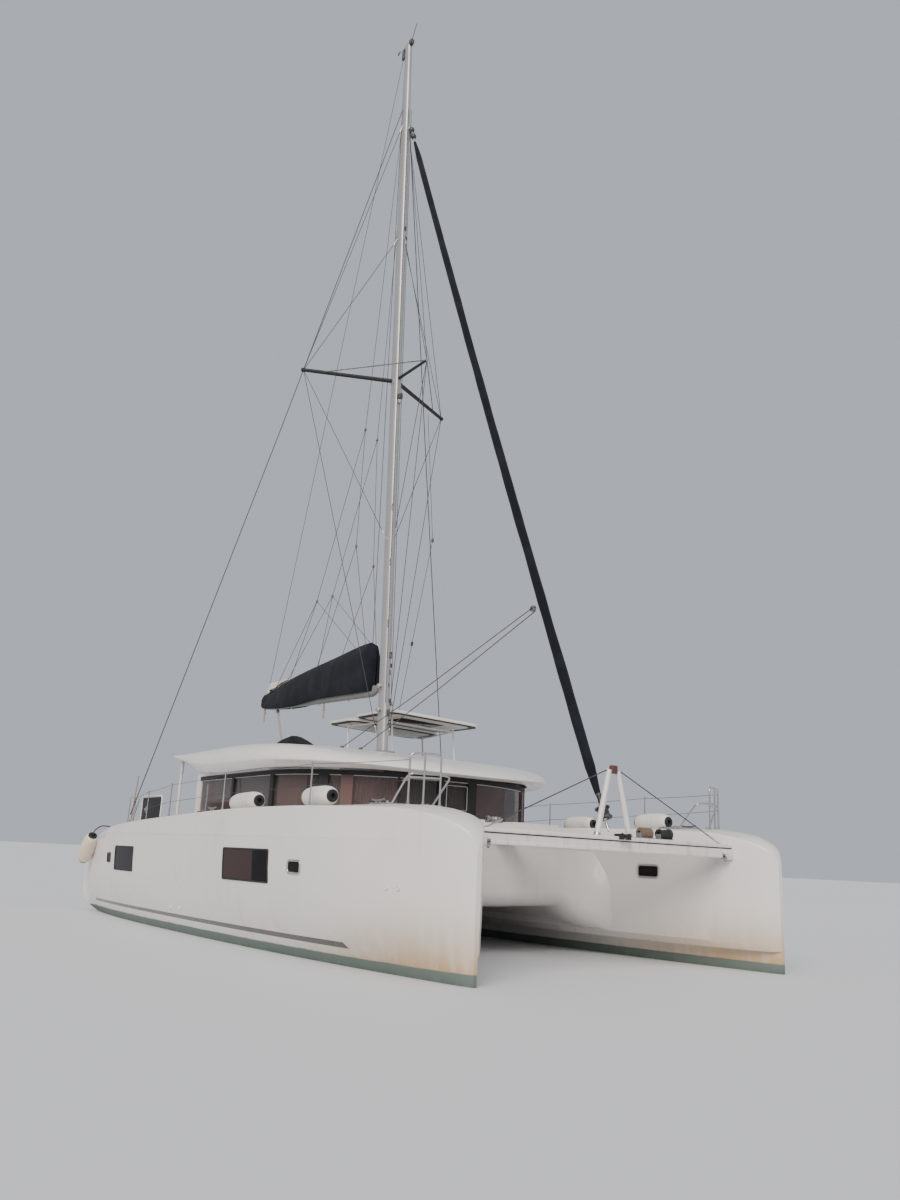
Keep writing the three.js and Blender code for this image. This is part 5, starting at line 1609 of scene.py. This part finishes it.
class BuildFenders(bpy.types.Operator):
    """Fenders lying on the side decks and one at the stern."""

    bl_idname = "catamaran.build_fenders"
    bl_label = "Fenders"

    def execute(self, context):
        for name, (x, y, length) in FENDERS.items():
            piece = Piece()
            slope = (deck_at(x + 0.5) - deck_at(x - 0.5))
            fender(piece, (x, y, deck_at(x) + 0.142), (1, 0, slope), length, 0.15)
            piece.finish("deck_fender_" + name, slot="vinyl", replaces=["fender_" + name])
        piece = Piece()
        low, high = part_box("fender_stern")
        middle = beside((low + high) / 2, 0.07, -0.01)
        turn = Matrix.Rotation(0.72, 3, "Y") @ Matrix.Rotation(math.pi / 2, 3, "X")
        way = turn @ Vector(ACROSS)
        fender(piece, middle, way, 0.7, 0.148, "cream")
        top = middle + way * (0.34 if way.z > 0 else -0.34)
        rope = flowing([top, beside(top, 0.04, 0.02, 0.1), (-5.3, -3.7, 1.74), (-5.0, -3.56, 1.72)], 3)
        pipe(piece["black_rope"], rope, 0.013, 8)
        piece.finish("hanging_fender", slot="vinyl", replaces=["fender_stern"])
        return {"FINISHED"}


CUSHION_VOXEL, CUSHION_PRESSURE, CUSHION_SWELL, CUSHION_WELT = 0.022, 4, 0.026, 0.005


def blown_up(thing, steps):
    """Swells a shape into a cushion with a cloth simulation, and keeps what comes of it."""
    remesh = thing.modifiers.new("even", "REMESH")
    remesh.mode, remesh.voxel_size = "VOXEL", CUSHION_VOXEL
    mesh = worked_out(thing)
    thing.modifiers.clear()
    materials = list(thing.data.materials)
    thing.data = mesh
    thing.data.materials.clear()
    for material in materials:
        thing.data.materials.append(material)
    before = [v.co.copy() for v in mesh.vertices]
    cloth = thing.modifiers.new("cloth", "CLOTH")
    cloth.settings.use_pressure = True
    cloth.settings.uniform_pressure_force = CUSHION_PRESSURE
    cloth.settings.effector_weights.gravity = 0
    cloth.settings.quality = 4
    for step in range(1, steps + 1):
        bpy.context.scene.frame_set(step)
    for vertex, start, moved in zip(mesh.vertices, before, worked_out(thing).vertices):
        shift = moved.co - start
        if shift.length > CUSHION_SWELL:
            shift *= CUSHION_SWELL / shift.length
        vertex.co = start + shift
    thing.modifiers.clear()
    bpy.context.scene.frame_set(1)


def filled(mesh, low, high):
    """Stretches a swollen cushion back over the seat it covers, leaving its crown as it is."""
    for axis in range(3):
        if high[axis] - low[axis] > 0.2:
            places = [v.co[axis] for v in mesh.vertices]
            first, span = min(places), max(places) - min(places)
            for vertex in mesh.vertices:
                vertex.co[axis] = low[axis] + (vertex.co[axis] - first) / span * (high[axis] - low[axis])


def seamed(mesh, low, high):
    """Raises a piped seam around a cushion, half way through its thickness."""
    size = high - low
    across = Vector([float(part == min(size)) for part in size])
    middle = (low + high) / 2
    bm = bmesh.new()
    bm.from_mesh(mesh)
    for off in (-CUSHION_WELT, 0, CUSHION_WELT):
        everything = bm.verts[:] + bm.edges[:] + bm.faces[:]
        bmesh.ops.bisect_plane(bm, geom=everything, plane_co=middle + across * off, plane_no=across)
    bm.normal_update()
    for vertex in bm.verts:
        if abs((vertex.co - middle).dot(across)) < 1e-4:
            vertex.co += vertex.normal * CUSHION_WELT
    bm.to_mesh(mesh)
    bm.free()
    for face in mesh.polygons:
        face.use_smooth = True


def cushion(name, low, high, sink=0.02):
    piece = Piece()
    low, high = Vector(low), Vector(high)
    block(piece["cushion"], low + Vector((sink,) * 3), high - Vector((sink,) * 3), 0.025, 3)
    thing = piece.finish(name, slot="vinyl", sharp=180)
    blown_up(thing, bpy.context.scene.catamaran_gear.cushion_steps)
    filled(thing.data, low, high)
    seamed(thing.data, low, high)


HARD_TOP_Y = 1.29


class BuildHelm(bpy.types.Operator):
    """Helm console, wheel, seat, instruments and the hard top."""

    bl_idname = "catamaran.build_helm"
    bl_label = "Helm"

    def execute(self, context):
        dress("gelcoat", "helm_console")
        self.wheel()
        self.seat()
        self.hard_top()
        return {"FINISHED"}

    def wheel(self):
        piece = Piece()
        centre, axis = Vector((-1.625, 1.35, 3.15)), Vector((-0.939693, 0, 0.34202))
        u = Vector(ACROSS)
        v = axis.cross(u)

        def ray(share):
            return u * math.cos(math.tau * share) + v * math.sin(math.tau * share)

        pipe(piece["gasket"], [centre + ray(i / 48) * 0.356 for i in range(49)], 0.015, 10)
        for i in range(5):
            out = ray(i / 5)
            spoke = [centre + out * 0.04, centre + out * 0.2 + axis * 0.012, centre + out * 0.35]
            pipe(piece["steel"], spoke, 0.008, 8)
        hub = [(-0.03, 0.0), (-0.03, 0.04), (0.02, 0.05), (0.035, 0.03), (0.04, 0)]
        turned(piece["steel"], hub, centre, axis, 24)
        piece.finish("steering_wheel_rim", "steering_wheel", "steel", ["helm_wheel"])
        dials = Piece()
        for y in (1.08, 1.24, 1.46, 1.62):
            base, way = (-1.32, y, 3.415), (-0.35, 0, 1)
            turned(dials["black"], [(0, 0.055), (0.012, 0.055), (0.016, 0.048)], base, way, 24)
            turned(dials["screen"], [(0.014, 0.048), (0.017, 0.046), (0.018, 0.0)], base, way, 24)
        dials.finish("helm_dials", slot="black")

    def seat(self):
        base = Piece()
        block(base["gelcoat"], (-2.9, 0.56, 2.37), (-2.44, 1.62, 2.76), 0.03, 3)
        block(base["gelcoat"], (-2.9, 0.56, 2.76), (-2.855, 1.62, 3.34), 0.015, 3)
        base.finish("helm_seat_base", slot="gelcoat", replaces=["helm_seat"])
        cushion("helm_seat_cushion", (-2.84, 0.58, 2.74), (-2.43, 1.6, 2.87))
        cushion("helm_back_cushion", (-2.86, 0.58, 2.9), (-2.77, 1.6, 3.39), 0.012)

    def panel(self, piece, finish, box, corner, low, high, edge, segments=2, steps=8):
        """A slanted sheet of the hard top; low and high are functions of y."""
        plan = [(x + (y - HARD_TOP_Y) * 0.1, y) for x, y in outline(*box, corner, steps)]
        slab(piece[finish], plan, lambda x, y: low(y), lambda x, y: high(y), edge, segments)

    def hard_top(self):
        for name, x0, x1, base, node_name in (
            ("hard_top_forward", -2.0, -0.53, 4.12, "bimini_top"),
            ("hard_top_aft", -3.15, -1.96, 4.0697, "bimini_top_aft"),
        ):
            def raised(by, base=base):
                return lambda y: base - (y - HARD_TOP_Y) * 0.05 + by

            piece = Piece()
            self.panel(piece, "gelcoat", (x0, x1, 0.2, 2.38), 0.26, raised(0.01), raised(0.068), 0.016, 3)
            # The black layer under the edge and the grey middle of the underside are painted shade under the top.
            self.panel(piece, "gasket", (x0 + 0.03, x1 - 0.03, 0.23, 2.35), 0.24, raised(0.002), raised(0.02), 0.004)
            self.panel(piece, "underside_painted_shade", (x0 + 0.14, x1 - 0.14, 0.36, 2.2), 0.18, raised(-0.004), raised(0.004), 0.003)
            if node_name == "bimini_top":
                for low, high, edge in ((-0.008, -0.003, 0.002), (0.066, 0.076, 0.003)):
                    hatch = (-1.62, -0.95, 0.75, 1.75)
                    self.panel(piece, "pane", hatch, 0.06, raised(low), raised(high), edge, steps=5)
            piece.finish(name, slot="gelcoat", replaces=[node_name])
        dress("gelcoat", "bimini_frame")


class BuildCockpit(bpy.types.Operator):
    """Bench, table, settee and the roof's canvas cover."""

    bl_idname = "catamaran.build_cockpit"
    bl_label = "Cockpit and cushions"

    def execute(self, context):
        bench = Piece()
        block(bench["gelcoat"], (-5.15, -1.5, 0.95), (-4.64, 1.5, 1.3), 0.03, 3)
        block(bench["gelcoat"], (-5.15, -1.5, 1.28), (-5.1, 1.5, 1.8), 0.02, 3)
        bench.finish("cockpit_bench_base", slot="gelcoat", replaces=["cockpit_bench"])
        for i, y in enumerate((-1.5, -0.5, 0.5)):
            cushion(f"bench_cushion_{i + 1}", (-5.09, y + 0.005, 1.29), (-4.62, y + 0.995, 1.4))
            cushion(f"bench_back_{i + 1}", (-5.11, y + 0.005, 1.41), (-5.0, y + 0.995, 1.85), 0.014)
        settee = ((0.9, -1.5, 0.95), (1.55, 1.5, 1.3), 0.03, 3)
        simple("saloon_settee_base", "gelcoat", block, *settee, slot="gelcoat", replaces=["saloon_settee"])
        for i, y in enumerate((-1.5, 0.0)):
            cushion(f"settee_cushion_{i + 1}", (0.92, y + 0.005, 1.28), (1.54, y + 1.495, 1.4))
        dress("gelcoat", "cockpit_table")
        self.cover()
        return {"FINISHED"}

    def cover(self):
        low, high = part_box("roof_cover")
        middle = (low + high) / 2
        levels = [
            (1.0, 0.0), (0.99, 0.2), (0.94, 0.4), (0.82, 0.57), (0.64, 0.72), (0.47, 0.85), (0.31, 0.94), (0.16, 0.99),
            (0.05, 1.0),
        ]
        rings = []
        for scale, rise in levels:
            ring = []
            for x, y in outline(low.x, high.x, low.y, high.y, 0.16, 8):
                size = scale + 0.014 * math.sin(x * 14 + y * 9) * (1 - rise)
                px, py = middle.x + (x - middle.x) * size, middle.y + (y - middle.y) * size
                slump = 0.03 * noise.noise(Vector((px * 3, py * 3, 0))) * rise
                ring.append((px, py - 0.18 * rise, low.z + 0.02 + (high.z - low.z + 0.01) * rise + slump))
            rings.append(ring)
        cover = Piece()
        skin(cover["cover"], rings, caps=(False, True))
        sheet = cover.finish("roof_canvas_cover", slot="canvas", replaces=["roof_cover"], sharp=70)


# side, the three blocks of a lazy jack, and which block holds each leg to the bag at x
JACKS = [
    (
        -1, (-1.571, -0.28, 10.4), (-1.6, -0.28, 7.73), (-3.15, -0.3, 6.8),
        [(0, -1.25), (0, -3.3), (1, -5.4), (1, -4.6), (1, -1.6)],
    ),
    (
        1, (-1.995, 0.28, 10.47), (-1.777, 0.28, 7.44), (-3.565, 0.3, 7.12),
        [(0, -1.1), (0, -2.6), (1, -5.2), (1, -3.6), (1, -1.2)],
    ),
]


EYE_BOLT = [(0, 0.03), (0.012, 0.03), (0.02, 0.012), (0.07, 0.01)]


class BuildRunningRigging(bpy.types.Operator):
    """Halyards, lazy jacks, sheets and their blocks."""

    bl_idname = "catamaran.build_running_rigging"
    bl_label = "Running rigging"

    def execute(self, context):
        rig = context.scene.catamaran_rig
        self.lazy_jacks(rig)
        self.mainsheet()
        self.halyards(rig)
        self.headsail_sheets(rig)
        return {"FINISHED"}

    def lazy_jacks(self, rig):
        jacks = Piece()
        for side, *blocks, ends in JACKS:
            upper, middle, lower = [Vector(point) for point in blocks]
            head = beside(mast_at(18.2), -0.06, side * 0.07)
            for a, b in ((head, upper), (upper, middle), (upper, lower)):
                line(jacks["grey_rope"], a, b, rig.light_line)
            for start, x in ends:
                low, high, half = along(BAG_SECTIONS, x)
                end = Vector((x, side * half * 0.45, low + (high - low) * 0.92))
                pipe(jacks["grey_rope"], [(middle, lower)[start], end], rig.light_line, 6)
            for point in (upper, middle, lower):
                shape = [(-0.035, 0.01), (-0.025, 0.026), (0.025, 0.026), (0.035, 0.01)]
                turned(jacks["black"], shape, point, (0.2, 0, 1), 12)
        lift = beside(mast_at(20.55), -0.17)
        topping_lift = [lift, between(lift, BOOM_AFT, 0.5), beside(BOOM_AFT, 0.05, 0, 0.1)]
        pipe(jacks["grey_rope"], topping_lift, rig.light_line, 6)
        pipe(jacks["black_rope"], [beside(lift, 0, 0.02), (-1.15, 0.02, 5.6)], rig.rope * 0.8, 6)
        thing = jacks.finish("lazy_jacks", None, "net")
        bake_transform(thing)

    def mainsheet(self):
        sheet = Piece()
        top = beside(between(BOOM_FRONT, BOOM_AFT, 0.86), z=-0.17)
        foot = Vector((-4.7, 0, 3.43))
        for i in range(4):
            off = Vector(((i - 1.5) * 0.022, 0.02 * (-1) ** i, 0))
            pipe(sheet["tan_rope"], [top + off, foot + off], 0.006, 8)
        for point in (top, foot):
            shape = [(-0.03, 0.012), (-0.024, 0.042), (0.024, 0.042), (0.03, 0.012)]
            turned(sheet["black"], shape, point, ACROSS, 16)
        thing = sheet.finish("mainsheet", None, "net")
        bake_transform(thing)
        track = Piece()
        block(track["gasket"], (-4.735, -0.75, 3.26), (-4.665, 0.75, 3.33), 0.008)
        block(track["black"], (-4.75, -0.08, 3.322), (-4.65, 0.08, 3.355), 0.01)
        turned(track["steel"], EYE_BOLT, (-4.7, 0, 3.345), UP, 12)
        track.finish("mainsheet_track", slot="black")
        hanks = Piece()
        for x, high, low in ((-5.96, 4.75, 4.38), (-3.0, 4.56, 4.2)):
            for dx, dy in ((-0.014, 0), (0.012, 0.01), (0.002, -0.014)):
                loop = [(x, 0, high), (x + dx, dy, high - 0.08), (x + dx, dy, low + 0.05), (x + dx * 0.4, 0, low)]
                pipe(hanks["tan_rope"], loop, 0.008, 8)
            tie = [(0, 0.01), (0.004, 0.03), (0.05, 0.03), (0.054, 0.01)]
            turned(hanks["tan_rope"], tie, (x, 0, high - 0.17), UP, 12)
        hanks.finish("boom_line_hanks", "boom", "net")

    def halyards(self, rig):
        lines = Piece()
        for y, z, x in ((0.05, 20.5, -0.11), (-0.04, 18.6, 0.15), (0.04, 18.6, 0.16)):
            end = beside(mast_at(4.3), math.copysign(0.16, x), y * 1.6)
            line(lines["grey_rope"], beside(mast_at(z), x, y), end, rig.rope * 0.8)
        path = [Vector(p) for p in ((-1.6, 1.35, 11.3), (-0.84, 1.15, 8.01), (-0.807, 0.75, 5.66), (-0.75, 0.5, 4.28))]
        for a, b in zip(path, path[1:]):
            pipe(lines["grey_rope"], [a, b], rig.light_line, 6)
        for point in path[1:3]:
            shape = [(-0.05, 0.01), (-0.03, 0.03), (0.03, 0.03), (0.05, 0.01)]
            turned(lines["black"], shape, point, (0.1, 0, 1), 12)
        turned(lines["steel"], EYE_BOLT, (-0.75, 0.5, 4.222), UP, 12)
        lines.finish("halyards", slot="net")

    def headsail_sheets(self, rig):
        clew = Vector((3.93, -0.02, 5.41))
        sheets = Piece()
        pulley = [(-0.03, 0.012), (-0.024, 0.035), (0.024, 0.035), (0.03, 0.012)]
        shackle = [(0, 0.035), (0.01, 0.035), (0.02, 0.012), (0.1, 0.01)]
        for start, end in (
            (beside(clew, 0, -0.03), (-0.64, -0.81, 3.36)),
            (beside(clew, 0, 0.05, -0.03), (-0.55, -0.45, 3.36)),
        ):
            pipe(sheets["grey_rope"], [start, beside(between(start, end, 0.5), z=-0.03), end], rig.rope, 8)
            turned(sheets["black"], pulley, end, ACROSS, 14)
            turned(sheets["steel"], shackle, beside(end, z=-0.14), UP, 12)
        turned(sheets["black"], [(-0.03, 0.01), (-0.025, 0.055), (0.025, 0.055), (0.03, 0.01)], clew, ACROSS, 14)
        sheets.finish("headsail_sheets", slot="net")


# ---------------------------------------------------------------- stage


# The camera that the photograph was taken with, solved from the boat's own size
CAMERA_PLACE = (15.803, -10.071, 1.391)
CAMERA_YAW, CAMERA_PITCH, CAMERA_ROLL = (math.radians(angle) for angle in (144.77, 14.82, 2.71))
SENSOR, FOCAL_PIXELS, PHOTO_HEIGHT = 36, 980.9, 1200


class BuildStudio(bpy.types.Operator):
    """Camera at the photograph's angle, pale floor at the waterline and soft light."""

    bl_idname = "catamaran.build_studio"
    bl_label = "Studio"

    def execute(self, context):
        studio = context.scene.catamaran_studio
        data = bpy.data.cameras.new("camera")
        data.sensor_width, data.lens = SENSOR, SENSOR * FOCAL_PIXELS / PHOTO_HEIGHT
        data.clip_end = 1000
        camera = placed("camera", data)
        level = Vector((math.cos(CAMERA_YAW), math.sin(CAMERA_YAW), 0))
        ahead = level * math.cos(CAMERA_PITCH) + Vector(UP) * math.sin(CAMERA_PITCH)
        right = Vector((level.y, -level.x, 0))
        up = right.cross(ahead)
        x_axis = right * math.cos(CAMERA_ROLL) + up * math.sin(CAMERA_ROLL)
        y_axis = up * math.cos(CAMERA_ROLL) - right * math.sin(CAMERA_ROLL)
        turn = Matrix((x_axis, y_axis, -ahead)).transposed().to_4x4()
        camera.matrix_world = Matrix.Translation(CAMERA_PLACE) @ turn
        context.scene.camera = camera
        bm = bmesh.new()
        bmesh.ops.create_grid(bm, x_segments=8, y_segments=8, size=600)
        floor = placed("floor", mesh_from(bm))
        floor.data.materials.append(self.floor_finish(studio))
        world = bpy.data.worlds.new("soft_sky")
        world.use_nodes = True
        back = world.node_tree.nodes["Background"]
        back.inputs["Color"].default_value = (0.7, 0.74, 0.82, 1)
        back.inputs["Strength"].default_value = studio.light
        context.scene.world = world
        lamp = bpy.data.lights.new("soft_sun", "SUN")
        lamp.energy, lamp.angle, lamp.color = studio.sun, math.radians(40), (1.0, 0.93, 0.86)
        sun = placed("soft_sun", lamp)
        sun.matrix_world = Vector((0.55, -0.6, 0.62)).to_track_quat("Z", "Y").to_matrix().to_4x4()
        return {"FINISHED"}

    def floor_finish(self, studio):
        material, tree, shader, place = start_material("studio_floor")
        cloud = noise_of(tree, place, 0.05, 2)
        shade = mixed(tree, times(tree, cloud, 0.15), rgba(studio.floor), (0.5, 0.52, 0.55, 1))
        feed(tree, shader, shade, Roughness=0.6)
        return material


STEPS_TO_BUILD = [
    BuildStudio, BuildHulls, BuildRoof, BuildShades, BuildDeck, BuildTrampolines, BuildMast, BuildStandingRigging,
    BuildBoom, BuildHeadsail, BuildRunningRigging, BuildRails, BuildFenders, BuildHelm, BuildCockpit,
]


class CatamaranPanel(bpy.types.Panel):
    """Lists the catamaran's pieces in the sidebar."""

    bl_idname = "VIEW3D_PT_catamaran"
    bl_label = "Catamaran"
    bl_space_type = "VIEW_3D"
    bl_region_type = "UI"
    bl_category = "Catamaran"

    def draw(self, context):
        for step in STEPS_TO_BUILD:
            self.layout.operator(step.bl_idname)
        for name in ("catamaran_finish", "catamaran_rig", "catamaran_gear", "catamaran_studio"):
            settings = getattr(context.scene, name)
            for key in settings.__annotations__:
                self.layout.prop(settings, key)


GROUPS_OF_SETTINGS = {
    "catamaran_finish": CatamaranFinish, "catamaran_rig": CatamaranRig, "catamaran_gear": CatamaranGear,
    "catamaran_studio": CatamaranStudio,
}


def register():
    for name, settings in GROUPS_OF_SETTINGS.items():
        bpy.utils.register_class(settings)
        setattr(bpy.types.Scene, name, PointerProperty(type=settings))
    for step in STEPS_TO_BUILD + [CatamaranPanel]:
        bpy.utils.register_class(step)


def unregister():
    for step in reversed(STEPS_TO_BUILD + [CatamaranPanel]):
        bpy.utils.unregister_class(step)
    for name, settings in GROUPS_OF_SETTINGS.items():
        delattr(bpy.types.Scene, name)
        bpy.utils.unregister_class(settings)


def main():
    register()
    for step in STEPS_TO_BUILD:
        getattr(bpy.ops.catamaran, step.bl_idname.split(".")[1])()


if __name__ == "__main__":
    main()
